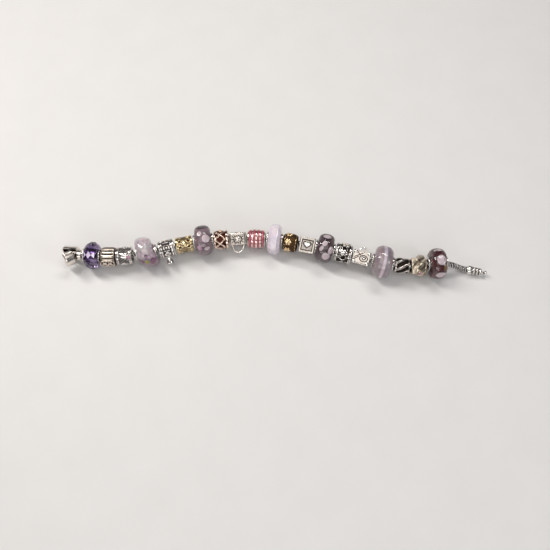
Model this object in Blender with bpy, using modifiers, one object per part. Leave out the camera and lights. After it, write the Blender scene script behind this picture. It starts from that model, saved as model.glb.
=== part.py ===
"""A charm bracelet, unfastened and laid out on a table in a gentle curve.

Twenty beads and charms ride on one snake chain, between an open barrel clasp at the -X end and a
threaded collar with a small tip at the +X end. Units are metres, +Z is up and the table is z = 0.

Each bead is modelled on a station: an empty at the bead's centre, whose local Z runs along the
chain towards the tip, local X points up and local Y points to the near side. A charm that faces the
viewer hangs under a face empty, which is the station rolled round the chain, so that its local X
points out of the decorated face, local Z to the right of it and local Y down it.
"""
import math

import bmesh
import bpy
import numpy as np
from mathutils import Matrix, Vector

MM = 0.001

# Fits that every piece shares
GAP = 0.3 * MM
BORE_RADIUS = 2.25 * MM
CHAIN_RADIUS = 1.4 * MM
FUSE_DEPTH = 0.25 * MM
CUT_MARGIN = 1.0 * MM
FACE_ROLL = math.radians(22.0)
ROUND_SIDES = 16
SMALL_SIDES = 12

# The chain's route over the table, chosen points from the clasp to the tip, x and y in millimetres
CHAIN_ROUTE = [
    (-91.0, -1.6), (-76.0, -2.3), (-59.7, -0.7), (-42.0, 3.8), (-24.0, 6.3), (-6.0, 6.7),
    (12.0, 3.9), (31.0, -0.7), (48.9, -5.8), (61.0, -7.3), (74.0, -6.4), (84.0, -6.5),
    (92.0, -8.0), (99.0, -9.9),
]
ROUTE_STEPS = 24
CHAIN_POINT_PITCH = 2.8 * MM
HEIGHT_BLEND = 4.0 * MM
BARE_CHAIN_LENGTH = 10.8 * MM

# The beads in order from the clasp: node, length along the chain, gap before it, outer radius
BEADS = [
    ("faceted_glass", 7.8, 1.10, 6.45),
    ("fluted_charm", 6.5, 0.45, 4.60),
    ("leaf_charm", 7.1, 0.50, 4.15),
    ("pearl_glass", 9.4, 1.95, 7.20),
    ("turret_charm", 7.2, 1.10, 4.15),
    ("star_charm", 7.6, 0.95, 3.95),
    ("dotted_glass", 9.2, 0.55, 7.15),
    ("lattice_charm", 6.5, 0.45, 4.60),
    ("handbag_charm", 8.0, 0.45, 2.90),
    ("striped_charm", 8.6, 0.45, 4.45),
    ("block_glass", 7.4, 0.50, 7.10),
    ("blossom_charm", 6.9, 0.35, 4.30),
    ("square_charm", 7.2, 0.95, 3.60),
    ("blob_glass", 9.0, 0.30, 6.80),
    ("heart_charm", 7.6, 0.45, 4.50),
    ("suitcase_charm", 8.2, 0.65, 3.20),
    ("cats_eye_glass", 9.9, 0.70, 7.55),
    ("knot_charm", 6.8, 0.60, 3.70),
    ("folded_charm", 7.0, 0.55, 4.30),
    ("petal_glass", 8.8, 0.85, 7.05),
]

# Glass beads and the silver cores that line them
CORE_WALL = 0.4 * MM
FLANGE_RADIUS = 3.3 * MM
FLANGE_THICKNESS = 0.5 * MM
GLASS_ROUNDNESS = 2.5
GLASS_ROWS = 9
GLASS_LIP_WIDTH = 0.9 * MM
FACET_SIDES = 8
FACET_SHOULDER_HEIGHT = 1.9 * MM
FACET_SHOULDER_SHARE = 0.93
FACET_TABLE_SHARE = 0.66
BLOCK_BEVEL_LENGTH = 1.5 * MM
BLOCK_END_SHARE = 0.8

# Barrel clasp, in its own frame with the neck's end at z = 0 and the mouth at -z
CLASP_ROLL = math.radians(72.0)
CLASP_RADIUS = 4.0 * MM
CLASP_WALL = 0.6 * MM
CLASP_LENGTH = 8.6 * MM
CLASP_CHAMFER = 0.5 * MM
NECK_RADIUS = 2.5 * MM
NECK_LENGTH = 1.8 * MM
SOCKET_DEPTH = 1.3 * MM
MOUTH_RADIUS = 1.3 * MM
JAW_SHELL_LENGTH = 4.0 * MM
JAW_OPENING = math.radians(38.0)
PIN_RADIUS = 0.35 * MM
PIN_CLEARANCE = 0.25 * MM
PIN_FROM_END = 3.7 * MM
PIN_OFFSET = 0.4 * MM
BOSS_RADIUS = 1.05 * MM
ARM_WIDTH = 3.0 * MM
ARM_ROOT_LENGTH = 1.4 * MM
ARM_ROOT_SETBACK = 1.3 * MM
CHEEK_THICKNESS = 0.7 * MM
CHEEK_GAP = 0.4 * MM
CHEEK_LENGTH = 2.1 * MM
CHEEK_DEPTH = 2.95 * MM
CHEEK_RISE = 1.2 * MM

# Threaded end and tip
COLLAR_RADIUS = 2.1 * MM
COLLAR_LENGTH = 2.0 * MM
THREAD_RADIUS = 2.0 * MM
THREAD_ROOT_RADIUS = 1.45 * MM
THREAD_PITCH = 1.45 * MM
THREAD_TURNS = 3
THREAD_RISE_SHARE = 0.3
THREAD_ROOT_GAP = 0.015 * MM
TIP_END_RADIUS = 0.65 * MM
TIP_EDGE = 0.5 * MM
TIP_NECK_RADIUS = 0.55 * MM
TIP_NECK_LENGTH = 1.2 * MM
TIP_RADIUS = 1.1 * MM
TIP_LENGTH = 1.5 * MM

# Fluted charm
FLUTES = 14
FLUTE_DEPTH = 0.45 * MM
FLUTE_TAPER = 0.9
FLUTE_ROWS = ((0.5, FLUTE_TAPER), (0.3, 1.0), (0.0, 1.0), (-0.3, 1.0), (-0.5, FLUTE_TAPER))
TEAR_SIZE = Vector((0.53, 0.94, 0.56)) * MM
TEAR_ANGLE = math.radians(41.0)
TEAR_PITCH = 2.4 * MM

# Leaf charm
RIM_LENGTH = 1.1 * MM
RIM_HEIGHT = 0.45 * MM
LEAF_LENGTH = 4.6 * MM
LEAF_WIDTH = 3.0 * MM
LEAF_HEIGHT = 0.6 * MM
LEAF_TURN = math.radians(28.0)
STONE_RADIUS = 0.75 * MM
STONE_HEIGHT = 0.9 * MM
STONE_LEVELS = ((0.55, 0.0), (1.0, 0.55), (0.6, 1.0))
STONE_GAP = 0.12 * MM
STONE_ANGLE = math.radians(14.0)
BEZEL_WALL = 0.3 * MM
BEZEL_HEIGHT = 0.6 * MM

# Turret charm, its frame and its hanging bell
TURRET_RIM_LENGTH = 1.4 * MM
TURRET_FRAME = 3.2 * MM
TURRET_FRAME_BAR = 0.7 * MM
TURRET_FRAME_HEIGHT = 0.55 * MM
LOOP_RADIUS = 0.65 * MM
LOOP_WIRE = 0.22 * MM
LINK_RADIUS = 0.85 * MM
LINK_WIRE = 0.2 * MM
LINK_GAP = 0.12 * MM
LOOP_ANGLE = math.radians(50.0)
BELL_LEAN = math.radians(40.0)
BELL_RADIUS = 1.75 * MM
BELL_LENGTH = 2.6 * MM
BELL_BALL_RADIUS = 0.55 * MM
BELL_FLARE = ((0.0, 0.0), (0.45, 0.12), (0.75, 0.5), (1.0, 1.0))
BELL_BALL_SINK = 0.13 * MM

# Star charm
STAR_RADIUS = 2.3 * MM
STAR_HEIGHT = 0.45 * MM
STAR_RIM_LENGTH = 1.0 * MM
PIERCE_RADIUS = 0.55 * MM
STAR_PIERCINGS = 8

# Lattice charm
LATTICE_WINDOWS = 6
LATTICE_WINDOW_SIZE = 0.95 * MM
LATTICE_RING_LENGTH = 1.0 * MM
LATTICE_NECK_RADIUS = 3.85 * MM
LATTICE_END_RADIUS = 3.75 * MM

# Handbag charm
BAG_DEPTH = 5.7 * MM
BAG_EDGE = 0.5 * MM
FLAP_RADIUS = 0.65 * MM
DOME_RADIUS = 1.6 * MM
DOME_TOP_RADIUS = 0.9 * MM
DOME_HEIGHT = 0.5 * MM
DOME_DOTS = 8
DOT_RADIUS = 0.3 * MM
DOT_RING_RADIUS = 2.1 * MM
BAG_HANDLE_WIDTH = 5.2 * MM
BAG_HANDLE_REACH = 3.4 * MM
BAG_HANDLE_WIRE = 0.42 * MM
HANDLE_POINTS = 9

# Striped charm
ENAMEL_BANDS = 4
ENAMEL_WIDTH = 0.8 * MM
ENAMEL_PITCH = 1.9 * MM
ENAMEL_DEPTH = 0.5 * MM
ENAMEL_GAP = 0.1 * MM
STRIPED_END_RADIUS = 3.9 * MM

# Blossom charm
BLOSSOM_ROWS = 7
BLOSSOMS = 6
BLOSSOM_RADIUS = 1.6 * MM
BLOSSOM_TOP_RADIUS = 1.1 * MM
BLOSSOM_HEIGHT = 0.45 * MM
BALL_ROUNDNESS = 2.5

# Square charm
PANEL_SIZE = 5.5 * MM
PANEL_DEPTH = 0.35 * MM
CUBE_EDGE = 0.45 * MM
CUBE_SIDES = 4
HEART_SIZE = 3.2 * MM
HEART_HEIGHT = 0.28 * MM
HEART_POINTS = 16

# Heart charm
HEART_WINDOWS = 6
HEART_WINDOW_SIZE = 0.9 * MM
HEART_BADGE_SIZE = 4.0 * MM
HEART_BADGE_HEIGHT = 0.5 * MM
FLOWER_PETALS = 5
PETAL_RADIUS = 0.75 * MM
PETAL_HEIGHT = 0.6 * MM
PETAL_RING_RADIUS = 1.15 * MM
FLOWER_ANGLE = math.radians(-62.0)

# Suitcase charm
CASE_DEPTH = 5.7 * MM
CASE_EDGE = 0.6 * MM
CORNER_CAP_RADIUS = 1.15 * MM
CORNER_CAP_TOP_RADIUS = 0.92 * MM
CORNER_CAP_HEIGHT = 0.25 * MM
CORNER_CAP_INSET = 1.3 * MM
OVAL_LENGTH = 3.8 * MM
OVAL_WIDTH = 3.0 * MM
OVAL_BAR = 0.45 * MM
OVAL_OFFSET = 1.0 * MM
CASE_HANDLE_WIDTH = 3.2 * MM
CASE_HANDLE_REACH = 1.7 * MM
CASE_HANDLE_WIRE = 0.35 * MM

# Knot charm
KNOT_LOBES = 6
KNOT_DEPTH = 0.8 * MM
KNOT_TWIST = math.radians(70.0)
KNOT_ROWS = 7
KNOT_RIM_SHARE = 0.86
KNOT_GAP_SIZE = 0.56 * MM

# Folded charm
FOLDED_SIDES = 4
FOLDED_CORNER_RADIUS = 5.6 * MM
FOLDED_SHOULDER_SHARE = 0.2
FOLDED_END_SHARE = 0.84
FOLDED_TWIST = math.radians(30.0)
FOLDED_STONE_ANGLE = math.radians(47.0)
FOLDED_PAD_DEPTH = 1.0 * MM

# Looks: base colour, metallic, roughness
LOOKS = {
    "silver": ((0.62, 0.58, 0.54), 1.0, 0.28),
    "dark_silver": ((0.20, 0.17, 0.14), 1.0, 0.4),
    "gold": ((0.75, 0.52, 0.26), 1.0, 0.3),
    "rose_gold": ((0.55, 0.38, 0.30), 1.0, 0.32),
    "purple_glass": ((0.09, 0.05, 0.14), 0.0, 0.06),
    "pink_glass": ((0.55, 0.36, 0.42), 0.0, 0.12),
    "mauve_glass": ((0.30, 0.22, 0.28), 0.0, 0.08),
    "pale_glass": ((0.68, 0.56, 0.66), 0.0, 0.08),
    "smoky_glass": ((0.26, 0.18, 0.22), 0.0, 0.08),
    "grey_glass": ((0.42, 0.33, 0.36), 0.0, 0.1),
    "maroon_glass": ((0.17, 0.05, 0.07), 0.0, 0.08),
    "enamel": ((0.50, 0.06, 0.12), 0.0, 0.2),
    "pink_stone": ((0.75, 0.35, 0.5), 0.0, 0.05),
}
GLASS_LOOKS = {
    "faceted_glass": "purple_glass", "pearl_glass": "pink_glass", "dotted_glass": "mauve_glass",
    "block_glass": "pale_glass", "blob_glass": "smoky_glass", "cats_eye_glass": "grey_glass",
    "petal_glass": "maroon_glass",
}
CHARM_LOOKS = {"star_charm": "gold", "blossom_charm": "gold", "lattice_charm": "rose_gold",
               "knot_charm": "dark_silver"}


# Scene, materials and objects

def clear_scene():
    """Remove every object of the open scene."""
    for old in list(bpy.data.objects):
        bpy.data.objects.remove(old, do_unlink=True)


def make_collections():
    """Make the collection of parts and the collection of cutters."""
    parts = bpy.data.collections.new("charm_bracelet")
    cutters = bpy.data.collections.new("charm_bracelet_cutters")
    bpy.context.scene.collection.children.link(parts)
    bpy.context.scene.collection.children.link(cutters)
    return parts, cutters


def material(name, look):
    """A Principled material of one node, in one of the named looks."""
    colour, metallic, roughness = LOOKS[look]
    made = bpy.data.materials.new(name)
    made.use_nodes = True
    shader = made.node_tree.nodes["Principled BSDF"]
    shader.inputs["Base Color"].default_value = (*colour, 1.0)
    shader.inputs["Metallic"].default_value = metallic
    shader.inputs["Roughness"].default_value = roughness
    return made


def empty(name, parent=None, matrix=None):
    """An empty that carries other objects."""
    made = bpy.data.objects.new(name, None)
    PARTS.objects.link(made)
    made.parent = parent
    made.empty_display_size = 2.0 * MM
    if matrix is not None:
        made.matrix_local = matrix
    return made


def part(name, mesh, parent, look, smooth=True):
    """A node of the bracelet: an object with its own material."""
    made = bpy.data.objects.new(name, mesh)
    PARTS.objects.link(made)
    made.parent = parent
    mesh.materials.append(material(name, look))
    if smooth and mesh.polygons:
        mesh.shade_smooth()
        mesh.set_sharp_from_angle(angle=math.radians(35.0))
    return made


def tool(name, mesh, parent):
    """A hidden shape that a Boolean adds to a node or takes from it."""
    made = bpy.data.objects.new(name, mesh)
    CUTTERS.objects.link(made)
    made.parent = parent
    made.hide_render = True
    made.display_type = "WIRE"
    return made


def combine(target, operand, operation, overlapping=False):
    """Add a Boolean modifier: UNION adds the operand, DIFFERENCE cuts it out."""
    joint = target.modifiers.new(operand.name, "BOOLEAN")
    joint.operation = operation
    joint.solver = "EXACT"
    joint.use_self = overlapping
    joint.object = operand


# Shapes

def lathe_mesh(name, profile, closed):
    """The profile's points at +X with the edges between them, ready for a Screw modifier."""
    mesh = bpy.data.meshes.new(name)
    edges = [(i, i + 1) for i in range(len(profile) - 1)]
    if closed:
        edges.append((len(profile) - 1, 0))
    mesh.from_pydata([(radius, 0.0, height) for radius, height in profile], edges, [])
    return mesh


def spin(target, sides):
    """Turn the object's profile round its local Z."""
    screw = target.modifiers.new("Lathe", "SCREW")
    screw.axis = "Z"
    screw.steps = sides
    screw.render_steps = sides
    screw.use_merge_vertices = True
    screw.merge_threshold = 0.00001


def turned(name, profile, parent, look, sides=ROUND_SIDES, closed=True):
    """A turned node: a profile of radius and height, top to bottom outside, then up the bore."""
    made = part(name, lathe_mesh(name, profile, closed), parent, look)
    spin(made, sides)
    return made


def bored(outer, bore=BORE_RADIUS):
    """Close an outer profile with the bore's two ends."""
    return outer + [(bore, outer[-1][1]), (bore, outer[0][1])]


def solid(bm, name):
    """Turn a bmesh into a mesh."""
    bmesh.ops.recalc_face_normals(bm, faces=bm.faces)
    mesh = bpy.data.meshes.new(name)
    bm.to_mesh(mesh)
    bm.free()
    return mesh


def add_cone(bm, radius, top_radius, depth, matrix, sides=SMALL_SIDES):
    """Add a capped cone or cylinder along local Z, centred on the matrix."""
    bmesh.ops.create_cone(bm, cap_ends=True, segments=sides, radius1=radius, radius2=top_radius,
                          depth=depth, matrix=matrix)


def add_box(bm, low, high):
    """Add a box between two corners."""
    low = Vector(low)
    high = Vector(high)
    size = Matrix.Diagonal((*(high - low), 1.0))
    bmesh.ops.create_cube(bm, size=1.0, matrix=Matrix.Translation((low + high) / 2.0) @ size)


def add_ball(bm, radius, matrix, columns=8, rows=6):
    """Add a sphere."""
    bmesh.ops.create_uvsphere(bm, u_segments=columns, v_segments=rows, radius=radius, matrix=matrix)


def hulled(bm):
    """A new bmesh: the convex hull round all the corners of the old one."""
    hull = bmesh.new()
    for corner in bm.verts:
        hull.verts.new(corner.co)
    bm.free()
    made = bmesh.ops.convex_hull(hull, input=hull.verts)
    spare = [item for item in made["geom_interior"] if isinstance(item, bmesh.types.BMVert)]
    bmesh.ops.delete(hull, geom=spare, context="VERTS")
    return hull


def outward(angle, radius, along=0.0):
    """A frame on a round surface: its Z points out at the angle, its X along the chain."""
    turn = Matrix.Rotation(angle, 4, "Z")
    axes = Matrix(((0.0, 0.0, 1.0, 0.0), (0.0, -1.0, 0.0, 0.0), (1.0, 0.0, 0.0, 0.0),
                   (0.0, 0.0, 0.0, 1.0)))
    return Matrix.Translation((0.0, 0.0, along)) @ turn @ Matrix.Translation((radius, 0.0, 0.0)) @ axes


def ring_points(radii, angles, height):
    """One cross-section of a loft: points at the radii and angles, all at one height."""
    return np.column_stack([radii * np.cos(angles), radii * np.sin(angles),
                            np.full_like(angles, height)])


def loft_mesh(name, rows, capped=False):
    """Join rows of points, each a closed ring, top to bottom: capped, or closed back on the first."""
    count = len(rows[0])
    verts = np.vstack(rows)
    faces = []
    if capped:
        last = (len(rows) - 1) * count
        faces = [tuple(range(count)), tuple(reversed(range(last, last + count)))]
    for row in range(len(rows) - 1 if capped else len(rows)):
        here = row * count
        below = ((row + 1) % len(rows)) * count
        for i in range(count):
            after = (i + 1) % count
            faces.append((here + i, below + i, below + after, here + after))
    mesh = bpy.data.meshes.new(name)
    mesh.from_pydata(verts.tolist(), [], faces)
    return mesh


def prism_mesh(name, outline, bottom, top, matrix):
    """A flat outline raised from bottom to top along the matrix's Z."""
    bm = bmesh.new()
    verts = [bm.verts.new((x, y, bottom)) for x, y in outline]
    face = bm.faces.new(verts)
    raised = bmesh.ops.extrude_face_region(bm, geom=[face])["geom"]
    moved = [item for item in raised if isinstance(item, bmesh.types.BMVert)]
    bmesh.ops.translate(bm, verts=moved, vec=(0.0, 0.0, top - bottom))
    bmesh.ops.transform(bm, matrix=matrix, verts=bm.verts)
    return solid(bm, name)


def heart_outline(size):
    """A heart of the given width, point down, from the usual sine and cosine formula."""
    angles = np.linspace(0.0, 2.0 * math.pi, HEART_POINTS, endpoint=False) + math.pi / HEART_POINTS
    x = 16.0 * np.sin(angles) ** 3
    y = 13.0 * np.cos(angles) - 5.0 * np.cos(2 * angles) - 2.0 * np.cos(3 * angles) - np.cos(4 * angles)
    return [(float(a) * size / 32.0, float(b + 2.0) * size / 32.0) for a, b in zip(x, y)]


def star_outline(radius, points=5, waist=0.45):
    """A star with its inner corners at the waist share of the radius."""
    corners = []
    for i in range(2 * points):
        reach = radius if i % 2 == 0 else radius * waist
        angle = math.pi / 2 + i * math.pi / points
        corners.append((reach * math.cos(angle), reach * math.sin(angle)))
    return corners


def wire_mesh(name, points, radius, cyclic=False):
    """A round wire along the points, as a closed mesh."""
    curve = bpy.data.curves.new(name, "CURVE")
    curve.dimensions = "3D"
    curve.bevel_depth = radius
    curve.bevel_resolution = 1
    curve.use_fill_caps = True
    curve.render_resolution_u = 0
    spline = curve.splines.new("POLY")
    spline.points.add(len(points) - 1)
    for spot, place in zip(spline.points, points):
        spot.co = (*place, 1.0)
    spline.use_cyclic_u = cyclic
    guide = bpy.data.objects.new(name + "_guide", curve)
    CUTTERS.objects.link(guide)
    mesh = bpy.data.meshes.new_from_object(guide.evaluated_get(bpy.context.evaluated_depsgraph_get()))
    bpy.data.objects.remove(guide)
    bm = bmesh.new()
    bm.from_mesh(mesh)
    bmesh.ops.remove_doubles(bm, verts=bm.verts, dist=0.000001)
    return solid(bm, name)


def torus_mesh(name, radius, wire, matrix, sides=SMALL_SIDES, wire_sides=6):
    """A ring of round wire."""
    bpy.ops.mesh.primitive_torus_add(major_radius=radius, minor_radius=wire, major_segments=sides,
                                     minor_segments=wire_sides)
    ring = bpy.context.object
    mesh = ring.data
    mesh.name = name
    bpy.data.objects.remove(ring)
    mesh.transform(matrix)
    return mesh


# The chain's route and the stations on it

def route_curve():
    """Dense points on the spline through the chosen points, and the length up to each."""
    chosen = np.array(CHAIN_ROUTE) * MM
    padded = np.vstack([2 * chosen[0] - chosen[1], chosen, 2 * chosen[-1] - chosen[-2]])
    t = np.linspace(0.0, 1.0, ROUTE_STEPS, endpoint=False)[:, None]
    stretches = []
    for a, b, c, d in zip(padded, padded[1:], padded[2:], padded[3:]):
        stretches.append(0.5 * (2 * b + (c - a) * t + (2 * a - 5 * b + 4 * c - d) * t ** 2
                                + (3 * b - a - 3 * c + d) * t ** 3))
    points = np.vstack(stretches + [chosen[-1:]])
    steps = np.linalg.norm(np.diff(points, axis=0), axis=1)
    return points, np.concatenate([[0.0], np.cumsum(steps)])


def is_glass(name):
    """Whether a bead is one of the large glass ones, which rest on the table."""
    return name in GLASS_LOOKS


def rest_height(name, radius):
    """How high a glass bead's centre stands when the bead rests on the table."""
    return radius * math.cos(math.pi / FACET_SIDES) if name == "block_glass" else radius


def bead_places():
    """Each bead's place along the chain: name, centre, length and radius in metres."""
    places = []
    reach = SOCKET_DEPTH
    for name, length, gap, radius in BEADS:
        reach += (gap + length / 2.0) * MM
        places.append((name, reach, length * MM, radius * MM))
        reach += length / 2.0 * MM
    return places, reach


class Route:
    """The chain's centre line: a place over the table and a height for each length along it."""

    def __init__(self):
        self.points, self.lengths = route_curve()
        self.slack = BORE_RADIUS - CHAIN_RADIUS - GAP
        places, self.beads_end = bead_places()
        self.chain_end = self.beads_end + BARE_CHAIN_LENGTH
        knots = []
        heights = []
        for name, centre, length, radius in places:
            if is_glass(name):
                level = rest_height(name, radius) - self.slack
                knots += [centre - length / 2.0, centre + length / 2.0]
                heights += [level, level]
        knots += [self.beads_end + CHAIN_RADIUS, self.chain_end - HEIGHT_BLEND / 2.0 - CHAIN_RADIUS / 2.0]
        heights += [heights[-1], COLLAR_RADIUS]
        self.knots = np.array(knots)
        self.heights = np.array(heights)
        self.places = places

    def height(self, reach):
        """The chain's height, averaged over a short stretch so that it bends smoothly."""
        near = reach + np.linspace(-0.5, 0.5, 9) * HEIGHT_BLEND
        return float(np.mean(np.interp(near, self.knots, self.heights)))

    def point(self, reach):
        """The centre line's point at a length along the chain."""
        x = float(np.interp(reach, self.lengths, self.points[:, 0]))
        y = float(np.interp(reach, self.lengths, self.points[:, 1]))
        return Vector((x, y, self.height(reach)))

    def frame(self, reach, lift=0.0):
        """A level frame on the chain: Z along it, X up, Y to the near side, raised by the lift."""
        ahead = self.point(reach + 0.5 * MM) - self.point(reach - 0.5 * MM)
        along = Vector((ahead.x, ahead.y, 0.0)).normalized()
        up = Vector((0.0, 0.0, 1.0))
        near = along.cross(up)
        turn = Matrix((up, near, along)).transposed().to_4x4()
        return Matrix.Translation(self.point(reach) + up * lift) @ turn


# Glass beads and their cores

def core(name, station, length):
    """The silver tube that lines a glass bead, with a flange at each end."""
    end = length / 2.0
    wall = BORE_RADIUS + CORE_WALL
    inner = end - FLANGE_THICKNESS
    outer = [(FLANGE_RADIUS - FLANGE_THICKNESS / 2.0, end), (FLANGE_RADIUS, inner), (wall, inner),
             (wall, -inner), (FLANGE_RADIUS, -inner), (FLANGE_RADIUS - FLANGE_THICKNESS / 2.0, -end)]
    return turned(name + "_core", bored(outer), station, "silver", SMALL_SIDES)


def glass_half_length(length):
    """Half the glass's own length, between the flanges of its core."""
    return length / 2.0 - FLANGE_THICKNESS - GAP


def glass_bore():
    """The hole in the glass, clear of the core."""
    return BORE_RADIUS + CORE_WALL + GAP


def round_glass(name, station, length, radius):
    """A plump turned glass bead: a rounded barrel round its core."""
    half = glass_half_length(length)
    lip = glass_bore() + GLASS_LIP_WIDTH
    power = 2.0 / GLASS_ROUNDNESS
    outer = [(lip, half)]
    for row in range(1, GLASS_ROWS - 1):
        angle = math.pi / 2 - math.pi * row / (GLASS_ROWS - 1)
        height = half * math.copysign(abs(math.sin(angle)) ** power, angle)
        outer.append((lip + (radius - lip) * math.cos(angle) ** power, height))
    outer.append((lip, -half))
    turned(name, bored(outer, glass_bore()), station, GLASS_LOOKS[name])


def faceted_glass(name, station, length, radius):
    """A cut glass bead: staggered rings of corners, joined by flat facets."""
    half = glass_half_length(length)
    rings = [(half, FACET_TABLE_SHARE, 0.0), (FACET_SHOULDER_HEIGHT, FACET_SHOULDER_SHARE, 0.5),
             (0.0, 1.0, 0.0), (-FACET_SHOULDER_HEIGHT, FACET_SHOULDER_SHARE, 0.5),
             (-half, FACET_TABLE_SHARE, 0.0)]
    bm = bmesh.new()
    for height, share, turn in rings:
        for i in range(FACET_SIDES):
            angle = 2.0 * math.pi * (i + turn) / FACET_SIDES
            bm.verts.new((share * radius * math.cos(angle), share * radius * math.sin(angle), height))
    bmesh.ops.convex_hull(bm, input=bm.verts)
    made = part(name, solid(bm, name), station, GLASS_LOOKS[name], smooth=False)
    hole = bmesh.new()
    add_cone(hole, glass_bore(), glass_bore(), length + CUT_MARGIN, Matrix())
    combine(made, tool(name + "_hole", solid(hole, name + "_hole"), station), "DIFFERENCE")


def block_glass(name, station, length, radius):
    """A glass block of flat facets with a bevel round each end, one facet down on the table."""
    half = glass_half_length(length)
    shoulder = half - BLOCK_BEVEL_LENGTH
    outer = [(BLOCK_END_SHARE * radius, half), (radius, shoulder), (radius, -shoulder),
             (BLOCK_END_SHARE * radius, -half)]
    bore = glass_bore() / math.cos(math.pi / FACET_SIDES)
    made = turned(name, bored(outer, bore), station, GLASS_LOOKS[name], FACET_SIDES)
    made.rotation_euler.z = math.pi / FACET_SIDES


# Silver and gold charms

def drum_outline(length, radius, rim_length=RIM_LENGTH, rim_height=RIM_HEIGHT):
    """A drum with a raised rim at each end."""
    end = length / 2.0
    inner = end - rim_length
    return [(radius - rim_height / 2.0, end), (radius, end - rim_height / 2.0), (radius, inner),
            (radius - rim_height, inner), (radius - rim_height, -inner), (radius, -inner),
            (radius, rim_height / 2.0 - end), (radius - rim_height / 2.0, -end)]


def fluted_charm(name, station, length, radius):
    """A charm with ribs along the chain and three small tears low on its face."""
    face = empty(name + "_face", station, Matrix.Rotation(FACE_ROLL, 4, "Z"))
    angles = np.linspace(0.0, 2.0 * math.pi, 2 * FLUTES, endpoint=False)
    ribs = radius - FLUTE_DEPTH * (np.arange(2 * FLUTES) % 2)
    rows = [ring_points(ribs * share, angles, along * length) for along, share in FLUTE_ROWS]
    bore = np.full_like(angles, BORE_RADIUS)
    rows += [ring_points(bore, angles, -length / 2.0), ring_points(bore, angles, length / 2.0)]
    made = part(name, loft_mesh(name, rows), face, "silver")
    tears = bmesh.new()
    for column in (-1, 0, 1):
        place = outward(TEAR_ANGLE, radius - FUSE_DEPTH, column * TEAR_PITCH)
        add_ball(tears, 1.0, place @ Matrix.Diagonal((*TEAR_SIZE, 1.0)))
    combine(made, tool(name + "_tears", solid(tears, name + "_tears"), face), "UNION")


def stone_mesh(name, matrix):
    """A small cut stone: eight sides, a table on top and a crown that slopes up to it."""
    bm = bmesh.new()
    for radius, height in STONE_LEVELS:
        for i in range(FACET_SIDES):
            angle = 2.0 * math.pi * i / FACET_SIDES
            bm.verts.new((radius * STONE_RADIUS * math.cos(angle),
                          radius * STONE_RADIUS * math.sin(angle), height * STONE_HEIGHT))
    bmesh.ops.convex_hull(bm, input=bm.verts)
    bmesh.ops.transform(bm, matrix=matrix, verts=bm.verts)
    return solid(bm, name)


def set_stone(made, face, angle, radius, along):
    """Give a charm a bezel at a place on its surface, and seat a stone in it."""
    name = made.name
    place = outward(angle, radius, along)
    cup = STONE_RADIUS + STONE_GAP + BEZEL_WALL
    ring = bmesh.new()
    add_cone(ring, cup, cup, BEZEL_HEIGHT + FUSE_DEPTH,
             place @ Matrix.Translation((0.0, 0.0, (BEZEL_HEIGHT - FUSE_DEPTH) / 2.0)))
    combine(made, tool(name + "_bezel", solid(ring, name + "_bezel"), face), "UNION")
    pocket = bmesh.new()
    hole = STONE_RADIUS + STONE_GAP
    add_cone(pocket, hole, hole, BEZEL_HEIGHT + CUT_MARGIN,
             place @ Matrix.Translation((0.0, 0.0, (BEZEL_HEIGHT + CUT_MARGIN) / 2.0)))
    combine(made, tool(name + "_pocket", solid(pocket, name + "_pocket"), face), "DIFFERENCE")
    seat = place @ Matrix.Translation((0.0, 0.0, STONE_GAP))
    part(name + "_stone", stone_mesh(name + "_stone", seat), face, "pink_stone", smooth=False)


def leaf_charm(name, station, length, radius):
    """A rimmed drum with a raised leaf on its face and a small stone set in the right rim."""
    face = empty(name + "_face", station, Matrix.Rotation(FACE_ROLL, 4, "Z"))
    made = turned(name, bored(drum_outline(length, radius)), face, "silver")
    leaf = bmesh.new()
    place = outward(0.0, radius - RIM_HEIGHT - FUSE_DEPTH)
    turn = Matrix.Rotation(LEAF_TURN, 4, "Z")
    half = Vector((LEAF_LENGTH, LEAF_WIDTH, 0.0)) / 2.0
    add_ball(leaf, 1.0, place @ turn @ Matrix.Diagonal((half.x, half.y, LEAF_HEIGHT + FUSE_DEPTH, 1.0)))
    combine(made, tool(name + "_leaf", solid(leaf, name + "_leaf"), face), "UNION")
    cup = STONE_RADIUS + STONE_GAP + BEZEL_WALL
    set_stone(made, face, STONE_ANGLE, radius - FUSE_DEPTH, length / 2.0 - cup)


def turret_charm(name, station, length, radius):
    """A drum with double rims and a square raised frame; a small bell hangs from its near side."""
    face = empty(name + "_face", station, Matrix.Rotation(FACE_ROLL, 4, "Z"))
    made = turned(name, bored(drum_outline(length, radius, TURRET_RIM_LENGTH)), face, "silver")
    half = TURRET_FRAME / 2.0
    inner = half - TURRET_FRAME_BAR
    base = radius - RIM_HEIGHT - FUSE_DEPTH
    top = radius - RIM_HEIGHT + TURRET_FRAME_HEIGHT
    frame = bmesh.new()
    add_box(frame, (base - TURRET_FRAME_HEIGHT, -half, -half), (top, half, half))
    combine(made, tool(name + "_frame", solid(frame, name + "_frame"), face), "UNION")
    hollow = bmesh.new()
    add_box(hollow, (base + FUSE_DEPTH, -inner, -inner), (top + CUT_MARGIN, inner, inner))
    combine(made, tool(name + "_hollow", solid(hollow, name + "_hollow"), face), "DIFFERENCE")
    hang_bell(made, station, radius)


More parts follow.
